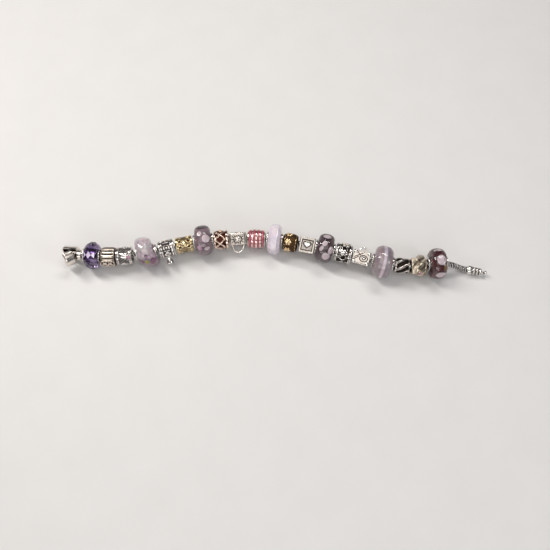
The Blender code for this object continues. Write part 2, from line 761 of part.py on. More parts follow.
def hang_bell(made, station, radius):
    """The loop on the turret charm, the jump ring through it and the bell with its own loop."""
    lean = Matrix.Rotation(LOOP_ANGLE, 4, "Z")
    centre = radius - RIM_HEIGHT + LOOP_RADIUS
    loop = torus_mesh(made.name + "_loop", LOOP_RADIUS, LOOP_WIRE,
                      lean @ Matrix.Translation((centre, 0.0, 0.0)))
    combine(made, tool(made.name + "_loop", loop, station), "UNION")
    hang = empty("bell_hang", station, lean @ Matrix.Translation((centre, 0.0, 0.0))
                 @ Matrix.Rotation(math.pi - BELL_LEAN - LOOP_ANGLE, 4, "Z")
                 @ Matrix.Translation((LOOP_RADIUS, 0.0, 0.0)))
    reach = LINK_RADIUS - LINK_WIRE - LOOP_WIRE - LINK_GAP
    upright = Matrix.Rotation(math.pi / 2, 4, "X")
    part("drop_ring", torus_mesh("drop_ring", LINK_RADIUS, LINK_WIRE,
                                 Matrix.Translation((reach, 0.0, 0.0)) @ upright), hang, "silver")
    bell_loop = 2.0 * reach + LOOP_RADIUS
    ball = -BELL_LENGTH - BELL_BALL_SINK
    profile = [(share * BELL_RADIUS, -down * BELL_LENGTH) for share, down in BELL_FLARE]
    profile += [(BELL_BALL_RADIUS / 2.0, ball), (BELL_BALL_RADIUS, ball - BELL_BALL_RADIUS),
                (0.0, ball - 2.0 * BELL_BALL_RADIUS)]
    bell = turned("bell_drop", profile, hang, "silver", SMALL_SIDES, closed=False)
    bell.matrix_local = (Matrix.Translation((bell_loop + LOOP_RADIUS, 0.0, 0.0))
                         @ Matrix.Rotation(-math.pi / 2, 4, "Y"))
    top = torus_mesh("bell_loop", LOOP_RADIUS, LOOP_WIRE, Matrix.Translation((bell_loop, 0.0, 0.0)))
    combine(bell, tool("bell_loop", top, hang), "UNION")


def pierced_ring(name, face, radius, count, size, along, sides, turn=0.0):
    """A hidden ring of radial bars that pierce a charm's wall between its bore and its skin."""
    bm = bmesh.new()
    depth = radius - BORE_RADIUS + 2.0 * CUT_MARGIN
    for i in range(count):
        place = outward(2.0 * math.pi * (i + turn) / count, BORE_RADIUS - CUT_MARGIN + depth / 2.0, along)
        add_cone(bm, size, size, depth, place, sides)
    return tool(name, solid(bm, name), face)


def star_charm(name, station, length, radius):
    """A gold rimmed drum, pierced in two rows of round holes, with a raised star on its face."""
    face = empty(name + "_face", station, Matrix.Rotation(FACE_ROLL, 4, "Z"))
    made = turned(name, bored(drum_outline(length, radius, STAR_RIM_LENGTH)), face, CHARM_LOOKS[name])
    row = length / 2.0 - STAR_RIM_LENGTH - PIERCE_RADIUS - FUSE_DEPTH
    for side, along, turn in (("left", -row, 0.5), ("right", row, 0.5)):
        holes = pierced_ring(f"{name}_{side}_holes", face, radius, STAR_PIERCINGS, PIERCE_RADIUS,
                             along, 6, turn)
        combine(made, holes, "DIFFERENCE")
    top = radius - RIM_HEIGHT + STAR_HEIGHT
    star = prism_mesh(name + "_star", star_outline(STAR_RADIUS), -2.0 * STAR_HEIGHT, STAR_HEIGHT,
                      outward(0.0, top - STAR_HEIGHT))
    combine(made, tool(name + "_star", star, face), "UNION")


def lattice_charm(name, station, length, radius):
    """A rose gold drum of lozenge windows with a wider ring at its right end."""
    face = empty(name + "_face", station, Matrix.Rotation(FACE_ROLL, 4, "Z"))
    end = length / 2.0
    ring = end - LATTICE_RING_LENGTH
    waist = radius - RIM_HEIGHT
    outer = [(radius, end), (radius, ring), (LATTICE_NECK_RADIUS, ring), (waist, ring - RIM_LENGTH),
             (waist, RIM_LENGTH - end), (LATTICE_END_RADIUS, -end)]
    made = turned(name, bored(outer), face, CHARM_LOOKS[name])
    middle = -LATTICE_RING_LENGTH / 2.0
    windows = pierced_ring(name + "_windows", face, radius, LATTICE_WINDOWS, LATTICE_WINDOW_SIZE,
                           middle, 4)
    combine(made, windows, "DIFFERENCE")


def bevelled_box(name, low, high, edge, face):
    """A silver box node with rounded edges."""
    bm = bmesh.new()
    add_box(bm, low, high)
    made = part(name, solid(bm, name), face, "silver")
    bevel = made.modifiers.new("Edges", "BEVEL")
    bevel.width = edge
    bevel.segments = 2
    bevel.limit_method = "ANGLE"
    return made


def drill(made, face, length):
    """Cut the chain's bore through a node."""
    bm = bmesh.new()
    add_cone(bm, BORE_RADIUS, BORE_RADIUS, length + 2.0 * CUT_MARGIN, Matrix())
    combine(made, tool(made.name + "_bore", solid(bm, made.name + "_bore"), face), "DIFFERENCE")


def handle_points(width, reach, root):
    """Points on a handle's arch: half an ellipse in the plane of the face, its feet at the root."""
    spots = []
    for i in range(HANDLE_POINTS):
        angle = math.pi * i / (HANDLE_POINTS - 1)
        spots.append((0.0, root + reach * math.sin(angle), -width / 2.0 * math.cos(angle)))
    return spots


def handbag_charm(name, station, length, half_height):
    """A handbag with a rolled flap, a dotted dome on its face and a handle below, open in the middle."""
    face = empty(name + "_face", station, Matrix.Rotation(FACE_ROLL, 4, "Z"))
    depth = BAG_DEPTH / 2.0
    end = length / 2.0
    made = bevelled_box(name, (-depth, -half_height, -end), (depth, half_height, end), BAG_EDGE, face)
    flap = bmesh.new()
    add_cone(flap, FLAP_RADIUS, FLAP_RADIUS, length - 2.0 * BAG_EDGE,
             Matrix.Translation((depth - FLAP_RADIUS / 2.0, FLAP_RADIUS / 2.0 - half_height, 0.0)), 8)
    combine(made, tool(name + "_flap", solid(flap, name + "_flap"), face), "UNION")
    dome = bmesh.new()
    add_cone(dome, DOME_RADIUS, DOME_TOP_RADIUS, DOME_HEIGHT + FUSE_DEPTH,
             outward(0.0, depth + (DOME_HEIGHT - FUSE_DEPTH) / 2.0))
    for i in range(DOME_DOTS):
        angle = 2.0 * math.pi * i / DOME_DOTS
        spot = Matrix.Translation((DOT_RING_RADIUS * math.cos(angle), DOT_RING_RADIUS * math.sin(angle), 0.0))
        add_cone(dome, DOT_RADIUS, DOT_RADIUS / 2.0, 2.0 * DOT_RADIUS, outward(0.0, depth) @ spot, 6)
    combine(made, tool(name + "_dome", solid(dome, name + "_dome"), face), "UNION")
    root = half_height - BAG_EDGE
    arch = wire_mesh(name + "_handle", handle_points(BAG_HANDLE_WIDTH, BAG_HANDLE_REACH + BAG_EDGE, root),
                     BAG_HANDLE_WIRE)
    combine(made, tool(name + "_handle", arch, face), "UNION")
    drill(made, face, length)


def striped_charm(name, station, length, radius):
    """A silver barrel with grooves round it, each filled by a band of enamel."""
    end = length / 2.0
    outer = [(STRIPED_END_RADIUS, end)]
    width = ENAMEL_WIDTH + 2.0 * ENAMEL_GAP
    floor = radius - ENAMEL_DEPTH
    for band in range(ENAMEL_BANDS):
        middle = ((ENAMEL_BANDS - 1) / 2.0 - band) * ENAMEL_PITCH
        top = middle + width / 2.0
        bottom = middle - width / 2.0
        outer += [(radius, top), (floor, top), (floor, bottom), (radius, bottom)]
        skin = radius - ENAMEL_GAP
        ring = [(skin, middle + ENAMEL_WIDTH / 2.0), (skin, middle - ENAMEL_WIDTH / 2.0)]
        turned(f"enamel_band_{ENAMEL_BANDS - band}", bored(ring, floor + ENAMEL_GAP), station, "enamel")
    outer.append((STRIPED_END_RADIUS, -end))
    turned(name, bored(outer), station, "silver")


def blossom_charm(name, station, length, radius):
    """A dark gold ball with low blossoms round its middle."""
    face = empty(name + "_face", station, Matrix.Rotation(FACE_ROLL, 4, "Z"))
    end = length / 2.0
    lip = BORE_RADIUS + FUSE_DEPTH * 2.0
    outer = []
    for row in range(BLOSSOM_ROWS):
        angle = math.pi * (0.5 - row / (BLOSSOM_ROWS - 1))
        reach = lip + (radius - lip) * math.cos(angle) ** (2.0 / BALL_ROUNDNESS)
        outer.append((reach, end * math.sin(angle)))
    made = turned(name, bored(outer), face, CHARM_LOOKS[name])
    blossoms = bmesh.new()
    for i in range(BLOSSOMS):
        place = outward(2.0 * math.pi * i / BLOSSOMS, radius + (BLOSSOM_HEIGHT - 2.0 * FUSE_DEPTH) / 2.0)
        add_cone(blossoms, BLOSSOM_RADIUS, BLOSSOM_TOP_RADIUS, BLOSSOM_HEIGHT + 2.0 * FUSE_DEPTH, place)
    combine(made, tool(name + "_blossoms", solid(blossoms, name + "_blossoms"), face), "UNION")


def square_charm(name, station, length, half):
    """A cube with a sunk panel and a raised heart on each side round the chain."""
    face = empty(name + "_face", station, Matrix.Rotation(FACE_ROLL, 4, "Z"))
    end = length / 2.0
    made = bevelled_box(name, (-half, -half, -end), (half, half, end), CUBE_EDGE, face)
    panels = bmesh.new()
    side = PANEL_SIZE / 2.0
    hearts = []
    for i in range(CUBE_SIDES):
        turn = Matrix.Rotation(2.0 * math.pi * i / CUBE_SIDES, 4, "Z")
        panel = bmesh.new()
        add_box(panel, (half - PANEL_DEPTH, -side, -side), (half + CUT_MARGIN, side, side))
        bmesh.ops.transform(panel, matrix=turn, verts=panel.verts)
        held = solid(panel, name + "_panel")
        panels.from_mesh(held)
        bpy.data.meshes.remove(held)
        heart = prism_mesh(f"{name}_heart_{i + 1}", heart_outline(HEART_SIZE), -FUSE_DEPTH, HEART_HEIGHT,
                           turn @ outward(0.0, half - PANEL_DEPTH))
        hearts.append(tool(f"{name}_heart_{i + 1}", heart, face))
    combine(made, tool(name + "_panels", solid(panels, name + "_panels"), face), "DIFFERENCE")
    for heart in hearts:
        combine(made, heart, "UNION")
    drill(made, face, length)


def heart_charm(name, station, length, radius):
    """An openwork ring charm with a raised heart on its face and a flower at its upper edge."""
    face = empty(name + "_face", station, Matrix.Rotation(FACE_ROLL, 4, "Z"))
    outline = drum_outline(length, radius, RIM_LENGTH)
    made = turned(name, bored(outline), face, "silver")
    windows = pierced_ring(name + "_windows", face, radius, HEART_WINDOWS, HEART_WINDOW_SIZE, 0.0, 6, 0.5)
    combine(made, windows, "DIFFERENCE")
    floor = radius - RIM_HEIGHT
    heart = prism_mesh(name + "_badge", heart_outline(HEART_BADGE_SIZE), -4.0 * FUSE_DEPTH,
                       HEART_BADGE_HEIGHT, outward(0.0, floor))
    combine(made, tool(name + "_badge", heart, face), "UNION")
    flower = bmesh.new()
    place = outward(FLOWER_ANGLE, floor + FUSE_DEPTH)
    squash = Matrix.Diagonal((PETAL_RADIUS, PETAL_RADIUS, PETAL_HEIGHT, 1.0))
    for i in range(FLOWER_PETALS):
        angle = 2.0 * math.pi * i / FLOWER_PETALS
        spot = Vector((math.cos(angle), math.sin(angle), 0.0)) * PETAL_RING_RADIUS
        add_ball(flower, 1.0, place @ Matrix.Translation(spot) @ squash)
    add_ball(flower, PETAL_RADIUS, place)
    combine(made, tool(name + "_flower", solid(flower, name + "_flower"), face), "UNION", overlapping=True)


def suitcase_charm(name, station, length, half_height):
    """A suitcase with corner caps, an oval frame on its face and a handle on its upper side."""
    face = empty(name + "_face", station, Matrix.Rotation(FACE_ROLL, 4, "Z"))
    depth = CASE_DEPTH / 2.0
    end = length / 2.0
    made = bevelled_box(name, (-depth, -half_height, -end), (depth, half_height, end), CASE_EDGE, face)
    caps = bmesh.new()
    lift = depth + (CORNER_CAP_HEIGHT - FUSE_DEPTH) / 2.0
    for across in (-1, 1):
        for along in (-1, 1):
            spot = (along * (end - CORNER_CAP_INSET), across * (half_height - CORNER_CAP_INSET), 0.0)
            add_cone(caps, CORNER_CAP_RADIUS, CORNER_CAP_TOP_RADIUS, CORNER_CAP_HEIGHT + FUSE_DEPTH,
                     outward(0.0, lift) @ Matrix.Translation(spot))
    combine(made, tool(name + "_caps", solid(caps, name + "_caps"), face), "UNION")
    oval = outward(0.0, depth) @ Matrix.Translation((OVAL_OFFSET, 0.0, 0.0))
    outer = Matrix.Diagonal((OVAL_LENGTH / 2.0, OVAL_WIDTH / 2.0, 1.0, 1.0))
    inner = Matrix.Diagonal((OVAL_LENGTH / 2.0 - OVAL_BAR, OVAL_WIDTH / 2.0 - OVAL_BAR, 1.0, 1.0))
    frame = bmesh.new()
    add_cone(frame, 1.0, 1.0, 2.0 * CORNER_CAP_HEIGHT, oval @ outer)
    combine(made, tool(name + "_oval", solid(frame, name + "_oval"), face), "UNION")
    well = bmesh.new()
    add_cone(well, 1.0, 1.0, CORNER_CAP_HEIGHT,
             oval @ Matrix.Translation((0.0, 0.0, CORNER_CAP_HEIGHT)) @ inner)
    combine(made, tool(name + "_well", solid(well, name + "_well"), face), "DIFFERENCE")
    spots = handle_points(CASE_HANDLE_WIDTH, CASE_HANDLE_REACH + CASE_EDGE, half_height - CASE_EDGE)
    arch = wire_mesh(name + "_handle", [(x, -y, z) for x, y, z in spots], CASE_HANDLE_WIRE)
    combine(made, tool(name + "_handle", arch, face), "UNION")
    drill(made, face, length)


def knot_charm(name, station, length, radius):
    """A dark charm of thick strands that twist round the chain between two smooth ends."""
    angles = np.linspace(0.0, 2.0 * math.pi, 4 * KNOT_LOBES, endpoint=False)
    lobes = radius - KNOT_DEPTH * 0.5 * (1.0 - np.cos(KNOT_LOBES * angles))
    rows = []
    for row in range(KNOT_ROWS):
        share = row / (KNOT_ROWS - 1)
        swell = KNOT_RIM_SHARE + (1.0 - KNOT_RIM_SHARE) * math.sin(math.pi * share)
        rows.append(ring_points(lobes * swell, angles + KNOT_TWIST * share, length * (0.5 - share)))
    made = part(name, loft_mesh(name, rows, capped=True), station, CHARM_LOOKS[name])
    drill(made, station, length)
    gaps = pierced_ring(name + "_gaps", station, radius, KNOT_LOBES, KNOT_GAP_SIZE, 0.0, 6,
                        0.5 + KNOT_LOBES * KNOT_TWIST / (4.0 * math.pi))
    combine(made, gaps, "DIFFERENCE")


def folded_charm(name, station, length, radius):
    """A charm of flat folded planes, a square end turned against the other, with a small stone."""
    face = empty(name + "_face", station, Matrix.Rotation(FACE_ROLL, 4, "Z"))
    bm = bmesh.new()
    levels = [(0.5, FOLDED_END_SHARE, FOLDED_TWIST), (FOLDED_SHOULDER_SHARE, 1.0, FOLDED_TWIST),
              (-FOLDED_SHOULDER_SHARE, 1.0, 0.0), (-0.5, FOLDED_END_SHARE, 0.0)]
    for along, share, turn in levels:
        reach = share * FOLDED_CORNER_RADIUS
        for i in range(FOLDED_SIDES):
            angle = 2.0 * math.pi * (i + 0.5) / FOLDED_SIDES + turn
            bm.verts.new((reach * math.cos(angle), reach * math.sin(angle), along * length))
    bmesh.ops.convex_hull(bm, input=bm.verts)
    made = part(name, solid(bm, name), face, "silver", smooth=False)
    pad = bmesh.new()
    cup = STONE_RADIUS + STONE_GAP + BEZEL_WALL
    add_cone(pad, cup, cup, FOLDED_PAD_DEPTH, outward(FOLDED_STONE_ANGLE, radius - FOLDED_PAD_DEPTH / 2.0))
    combine(made, tool(name + "_pad", solid(pad, name + "_pad"), face), "UNION")
    set_stone(made, face, FOLDED_STONE_ANGLE, radius, 0.0)
    drill(made, face, length)


BUILDERS = {
    "faceted_glass": faceted_glass, "fluted_charm": fluted_charm, "leaf_charm": leaf_charm,
    "pearl_glass": round_glass, "turret_charm": turret_charm, "star_charm": star_charm,
    "dotted_glass": round_glass, "lattice_charm": lattice_charm, "handbag_charm": handbag_charm,
    "striped_charm": striped_charm, "block_glass": block_glass, "blossom_charm": blossom_charm,
    "square_charm": square_charm, "blob_glass": round_glass, "heart_charm": heart_charm,
    "suitcase_charm": suitcase_charm, "cats_eye_glass": round_glass, "knot_charm": knot_charm,
    "folded_charm": folded_charm, "petal_glass": round_glass,
}


# Chain, threaded end and clasp

def snake_chain(route, top):
    """The chain as a tube from the clasp's socket to the collar's."""
    start = GAP
    end = route.chain_end + SOCKET_DEPTH - GAP
    count = max(2, round((end - start) / CHAIN_POINT_PITCH))
    curve = bpy.data.curves.new("snake_chain", "CURVE")
    curve.dimensions = "3D"
    curve.bevel_depth = CHAIN_RADIUS
    curve.bevel_resolution = 2
    curve.use_fill_caps = True
    curve.render_resolution_u = 0
    spline = curve.splines.new("POLY")
    spline.points.add(count)
    for i, spot in enumerate(spline.points):
        spot.co = (*route.point(start + (end - start) * i / count), 1.0)
    chain = bpy.data.objects.new("snake_chain", curve)
    PARTS.objects.link(chain)
    chain.parent = top
    curve.materials.append(material("snake_chain", "silver"))


def threaded_end(route, top):
    """The collar that holds the chain's end, its thread and the small tip beyond it."""
    thread_end = COLLAR_LENGTH + THREAD_TURNS * THREAD_PITCH
    tip_start = thread_end + TIP_NECK_LENGTH
    tip_end = tip_start + TIP_LENGTH
    profile = [(0.0, tip_end), (TIP_END_RADIUS, tip_end), (TIP_RADIUS, tip_end - TIP_EDGE),
               (TIP_RADIUS, tip_start + TIP_EDGE), (TIP_NECK_RADIUS, tip_start),
               (TIP_NECK_RADIUS, thread_end)]
    rise = THREAD_RISE_SHARE * THREAD_PITCH
    for turn in range(THREAD_TURNS):
        base = thread_end - turn * THREAD_PITCH
        foot = base - THREAD_PITCH
        profile += [(THREAD_ROOT_RADIUS, base), (THREAD_RADIUS, base - rise), (THREAD_RADIUS, foot + rise),
                    (THREAD_ROOT_RADIUS, foot + THREAD_ROOT_GAP)]
    profile += [(COLLAR_RADIUS, COLLAR_LENGTH), (COLLAR_RADIUS, 0.0),
                (CHAIN_RADIUS + GAP, 0.0), (CHAIN_RADIUS + GAP, SOCKET_DEPTH), (0.0, SOCKET_DEPTH)]
    station = empty("threaded_end_station", top, route.frame(route.chain_end))
    turned("threaded_end", profile, station, "silver", SMALL_SIDES, closed=False)


def half_space(name, parent, keep, from_z, to_z):
    """A hidden box that removes the half of the barrel on the other side of the split."""
    wide = CLASP_RADIUS + CUT_MARGIN
    bm = bmesh.new()
    if keep < 0:
        add_box(bm, (-GAP / 2.0, -wide, from_z), (wide, wide, to_z))
    else:
        add_box(bm, (-wide, -wide, from_z), (GAP / 2.0, wide, to_z))
    return tool(name, solid(bm, name), parent)


def pin_frame():
    """The hinge pin's axis in the clasp's frame, its Z along the pin."""
    return Matrix.Translation((PIN_OFFSET, 0.0, -PIN_FROM_END)) @ Matrix.Rotation(math.pi / 2, 4, "X")


def pin_hole(name, parent):
    """A hidden cylinder that cuts the hinge pin's hole."""
    bm = bmesh.new()
    radius = PIN_RADIUS + PIN_CLEARANCE
    add_cone(bm, radius, radius, 2.0 * CLASP_RADIUS, pin_frame(), 10)
    return tool(name, solid(bm, name), parent)


def clasp_body(station):
    """The clasp's fixed half: neck with the chain's socket, half a barrel and two hinge cheeks."""
    inner = CLASP_RADIUS - CLASP_WALL
    lip = CLASP_RADIUS - CLASP_CHAMFER
    socket = CHAIN_RADIUS + GAP
    back = -NECK_LENGTH - CLASP_WALL
    profile = [(0.0, -SOCKET_DEPTH), (socket, -SOCKET_DEPTH), (socket, 0.0), (NECK_RADIUS, 0.0),
               (NECK_RADIUS, -NECK_LENGTH), (lip, -NECK_LENGTH),
               (CLASP_RADIUS, -NECK_LENGTH - CLASP_CHAMFER), (CLASP_RADIUS, CLASP_CHAMFER - CLASP_LENGTH),
               (lip, -CLASP_LENGTH), (MOUTH_RADIUS, -CLASP_LENGTH),
               (MOUTH_RADIUS, CLASP_WALL - CLASP_LENGTH), (inner, CLASP_WALL - CLASP_LENGTH),
               (inner, back), (0.0, back)]
    made = turned("clasp_body", profile, station, "silver", closed=False)
    combine(made, half_space("clasp_body_split", station, -1, -CLASP_LENGTH - CUT_MARGIN, -NECK_LENGTH),
            "DIFFERENCE")
    near = ARM_WIDTH / 2.0 + CHEEK_GAP
    cheeks = bmesh.new()
    for side in (-1, 1):
        ends = sorted((side * near, side * (near + CHEEK_THICKNESS)))
        add_box(cheeks, (-CHEEK_DEPTH, ends[0], back - CHEEK_LENGTH),
                (CHEEK_RISE, ends[1], back + FUSE_DEPTH))
    combine(made, tool("clasp_cheeks", solid(cheeks, "clasp_cheeks"), station), "UNION")
    combine(made, pin_hole("clasp_body_pin_hole", station), "DIFFERENCE")


def clasp_pin(station):
    """The hinge pin, held between the cheeks."""
    length = ARM_WIDTH + 2.0 * (CHEEK_GAP + CHEEK_THICKNESS)
    bm = bmesh.new()
    add_cone(bm, PIN_RADIUS, PIN_RADIUS, length, pin_frame(), 10)
    part("clasp_pin", solid(bm, "clasp_pin"), station, "silver")


def clasp_jaw(station):
    """The clasp's jaw: half a barrel whose arm turns on the pin, standing open."""
    axis = empty("clasp_hinge_axis", station)
    axis.matrix_local = (Matrix.Translation((PIN_OFFSET, 0.0, -PIN_FROM_END))
                         @ Matrix.Rotation(-JAW_OPENING, 4, "Y"))
    closed_frame = Matrix.Translation((-PIN_OFFSET, 0.0, PIN_FROM_END))
    inner = CLASP_RADIUS - CLASP_WALL
    lip = CLASP_RADIUS - CLASP_CHAMFER
    rear = JAW_SHELL_LENGTH - CLASP_LENGTH
    profile = [(CLASP_RADIUS, rear), (CLASP_RADIUS, CLASP_CHAMFER - CLASP_LENGTH), (lip, -CLASP_LENGTH),
               (MOUTH_RADIUS, -CLASP_LENGTH), (MOUTH_RADIUS, CLASP_WALL - CLASP_LENGTH),
               (inner, CLASP_WALL - CLASP_LENGTH), (inner, rear)]
    shifted = empty("clasp_jaw_frame", axis, closed_frame)
    made = turned("clasp_jaw", profile, shifted, "silver")
    combine(made, half_space("clasp_jaw_split", shifted, 1, -CLASP_LENGTH - CUT_MARGIN, 0.0), "DIFFERENCE")
    arm = bmesh.new()
    add_cone(arm, BOSS_RADIUS, BOSS_RADIUS, ARM_WIDTH, pin_frame(), 10)
    root = rear - ARM_ROOT_SETBACK + ARM_ROOT_LENGTH / 2.0
    add_box(arm, (inner - CLASP_WALL / 2.0, -ARM_WIDTH / 2.0, root - ARM_ROOT_LENGTH),
            (inner + CLASP_WALL / 2.0, ARM_WIDTH / 2.0, root))
    combine(made, tool("clasp_arm", solid(hulled(arm), "clasp_arm"), shifted), "UNION")
    combine(made, pin_hole("clasp_jaw_pin_hole", shifted), "DIFFERENCE")


def recentre(top):
    """Move the whole bracelet so that its box stands centred on the origin, on the table."""
    bpy.context.view_layer.update()
    graph = bpy.context.evaluated_depsgraph_get()
    corners = []
    for item in PARTS.objects:
        if item.type == "EMPTY":
            continue
        shown = item.evaluated_get(graph)
        mesh = shown.to_mesh()
        spots = np.empty(len(mesh.vertices) * 3, dtype=np.float32)
        mesh.vertices.foreach_get("co", spots)
        turn = np.array(item.matrix_world)
        world = spots.reshape(-1, 3) @ turn[:3, :3].T + turn[:3, 3]
        corners += [world.min(axis=0), world.max(axis=0)]
        shown.to_mesh_clear()
    low = np.min(corners, axis=0)
    high = np.max(corners, axis=0)
    top.location = (-(low[0] + high[0]) / 2.0, -(low[1] + high[1]) / 2.0, -low[2])


def build():
    """Build the clasp, the chain, the beads in order and the threaded end."""
    top = empty("bracelet")
    route = Route()
    clasp = empty("clasp_station", top, route.frame(SOCKET_DEPTH) @ Matrix.Rotation(CLASP_ROLL, 4, "Z"))
    clasp_body(clasp)
    clasp_pin(clasp)
    clasp_jaw(clasp)
    for name, centre, length, radius in route.places:
        lift = route.slack if is_glass(name) else -route.slack
        station = empty(name + "_station", top, route.frame(centre, lift))
        BUILDERS[name](name, station, length, radius)
        if is_glass(name):
            core(name, station, length)
    snake_chain(route, top)
    threaded_end(route, top)
    recentre(top)


clear_scene()
PARTS, CUTTERS = make_collections()
build()
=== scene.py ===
"""Dresses the charm bracelet: fine cast metal, layered glass, snake chain links and a pale studio.

Shapes are worked out in millimetres in a bead's own face frame and placed in metres. In that frame
X points out of the side that the camera sees, Y points down the picture and Z runs along the chain
to the right. A point on a bead's surface is given as (right, down, out).
"""
from __future__ import annotations

import logging
import math
from collections.abc import Callable
from dataclasses import dataclass, field
from enum import Enum

import bpy
import numpy as np
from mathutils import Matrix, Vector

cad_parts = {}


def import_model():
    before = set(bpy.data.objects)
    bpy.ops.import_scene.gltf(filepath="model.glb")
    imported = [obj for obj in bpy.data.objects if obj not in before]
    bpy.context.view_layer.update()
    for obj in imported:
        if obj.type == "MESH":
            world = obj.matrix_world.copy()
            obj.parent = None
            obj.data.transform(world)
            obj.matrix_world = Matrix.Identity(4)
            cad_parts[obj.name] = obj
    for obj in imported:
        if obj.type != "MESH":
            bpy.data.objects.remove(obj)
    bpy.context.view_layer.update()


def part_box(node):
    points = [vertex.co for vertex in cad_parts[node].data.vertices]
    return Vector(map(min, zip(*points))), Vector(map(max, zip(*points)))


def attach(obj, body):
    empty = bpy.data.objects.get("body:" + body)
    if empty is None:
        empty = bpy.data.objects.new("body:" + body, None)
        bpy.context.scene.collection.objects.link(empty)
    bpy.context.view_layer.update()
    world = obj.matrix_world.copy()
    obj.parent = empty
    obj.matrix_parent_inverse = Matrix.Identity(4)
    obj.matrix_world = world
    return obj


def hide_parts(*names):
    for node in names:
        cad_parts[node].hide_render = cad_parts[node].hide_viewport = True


LOG = logging.getLogger("bracelet")
MM = 0.001
TURN = 2.0 * math.pi
Array = np.ndarray
Colour = tuple[float, float, float]
Point = tuple[float, float, float]
Mark = tuple[float, float, float, float, float]
Socket = bpy.types.NodeSocket

# The chain's route over the table and the beads on it, the same as in the part's source
CHAIN_ROUTE = [
    (-91.0, -1.6), (-76.0, -2.3), (-59.7, -0.7), (-42.0, 3.8), (-24.0, 6.3), (-6.0, 6.7),
    (12.0, 3.9), (31.0, -0.7), (48.9, -5.8), (61.0, -7.3), (74.0, -6.4), (84.0, -6.5),
    (92.0, -8.0), (99.0, -9.9),
]
BEADS = {
    "faceted_glass": (7.8, 1.10, 6.45), "fluted_charm": (6.5, 0.45, 4.60),
    "leaf_charm": (7.1, 0.50, 4.15), "pearl_glass": (9.4, 1.95, 7.20),
    "turret_charm": (7.2, 1.10, 4.15), "star_charm": (7.6, 0.95, 3.95),
    "dotted_glass": (9.2, 0.55, 7.15), "lattice_charm": (6.5, 0.45, 4.60),
    "handbag_charm": (8.0, 0.45, 2.90), "striped_charm": (8.6, 0.45, 4.45),
    "block_glass": (7.4, 0.50, 7.10), "blossom_charm": (6.9, 0.35, 4.30),
    "square_charm": (7.2, 0.95, 3.60), "blob_glass": (9.0, 0.30, 6.80),
    "heart_charm": (7.6, 0.45, 4.50), "suitcase_charm": (8.2, 0.65, 3.20),
    "cats_eye_glass": (9.9, 0.70, 7.55), "knot_charm": (6.8, 0.60, 3.70),
    "folded_charm": (7.0, 0.55, 4.30), "petal_glass": (8.8, 0.85, 7.05),
}
GLASS_NODES = {name for name in BEADS if name.endswith("glass")}
BARE_CHAIN_LENGTH = 10.8
SOCKET_DEPTH = 1.3
BORE_RADIUS = 2.25
CHAIN_RADIUS = 1.4
GAP = 0.3
SLACK = BORE_RADIUS - CHAIN_RADIUS - GAP
CORE_WALL = 0.4
FLANGE_RADIUS = 3.3
FLANGE_THICKNESS = 0.5
GLASS_BORE = BORE_RADIUS + CORE_WALL + GAP
GLASS_LIP = GLASS_BORE + 0.9
GLASS_SKIN = 0.03
BORE_CHAMFER = 0.08
CHAMFER_DEPTH = 0.15
COLLAR_RADIUS = 2.1
HEIGHT_BLEND = 4.0
FACE_ROLL = math.radians(22.0)
BLOCK_SIDES = 8
CLASP_ROLL = math.radians(72.0)
ROUTE_STEPS = 24

# The small stones and their cups
STONE_RADIUS = 0.75
STONE_GAP = 0.12
BEZEL_WALL = 0.3
BEZEL_HEIGHT = 0.6
BEZEL_BEADS = 12

# Sizes of the noise on the finishes, and how high their bumps stand in metres
TARNISH_SCALE = 900.0
WEAR_SCALE = 260.0
SCRATCH_SCALE = 5200.0
SCRATCH_HEIGHT = 0.00004
RIPPLE_SCALE = 180.0
RIPPLE_HEIGHT = 0.0002


# Numbers and patterns

def ease(low: float, high: float, value: Array) -> Array:
    """Smooth step: 0 below low, 1 above high, and 3t² - 2t³ between them."""
    t = np.clip((value - low) / (high - low), 0.0, 1.0)
    return t * t * (3.0 - 2.0 * t)


def dome(distance: Array, reach: float) -> Array:
    """A round hump: the square root of 1 - (distance / reach)², and 0 past its reach."""
    return np.sqrt(np.clip(1.0 - (distance / reach) ** 2, 0.0, 1.0))


def plateau(distance: Array, reach: float, edge: float) -> Array:
    """A flat top with an eased edge on both sides of 0: 1 up to reach - edge, 0 past the reach."""
    return 1.0 - ease(reach - edge, reach, np.abs(distance))


def wrapped(value: Array, period: float) -> Array:
    """A coordinate folded into one repeat, from -period / 2 to period / 2."""
    return (value + period / 2.0) % period - period / 2.0


def circle(count: int) -> Array:
    """Angles spread evenly over one turn."""
    return np.linspace(0.0, TURN, count, endpoint=False)


def points(*parts: Array | float) -> Array:
    """Points, or faces, from their numbers: each part is a number or an array that fits the others."""
    return np.stack(np.broadcast_arrays(*parts), axis=-1)


def polar(reach: Array | float, angle: Array | float, height: Array | float) -> Array:
    """Points round Z: (r cos a, r sin a, z), from numbers or arrays that fit each other."""
    return points(reach * np.cos(angle), reach * np.sin(angle), height)


def heart_points(width: float) -> Array:
    """A heart, point down: 16 sin³t across, 13 cos t - 5 cos 2t - 2 cos 3t - cos 4t up."""
    t = circle(48)
    across = 16.0 * np.sin(t) ** 3
    up = 13.0 * np.cos(t) - 5.0 * np.cos(2 * t) - 2.0 * np.cos(3 * t) - np.cos(4 * t)
    return points(across, -(up + 2.0)) * width / 32.0


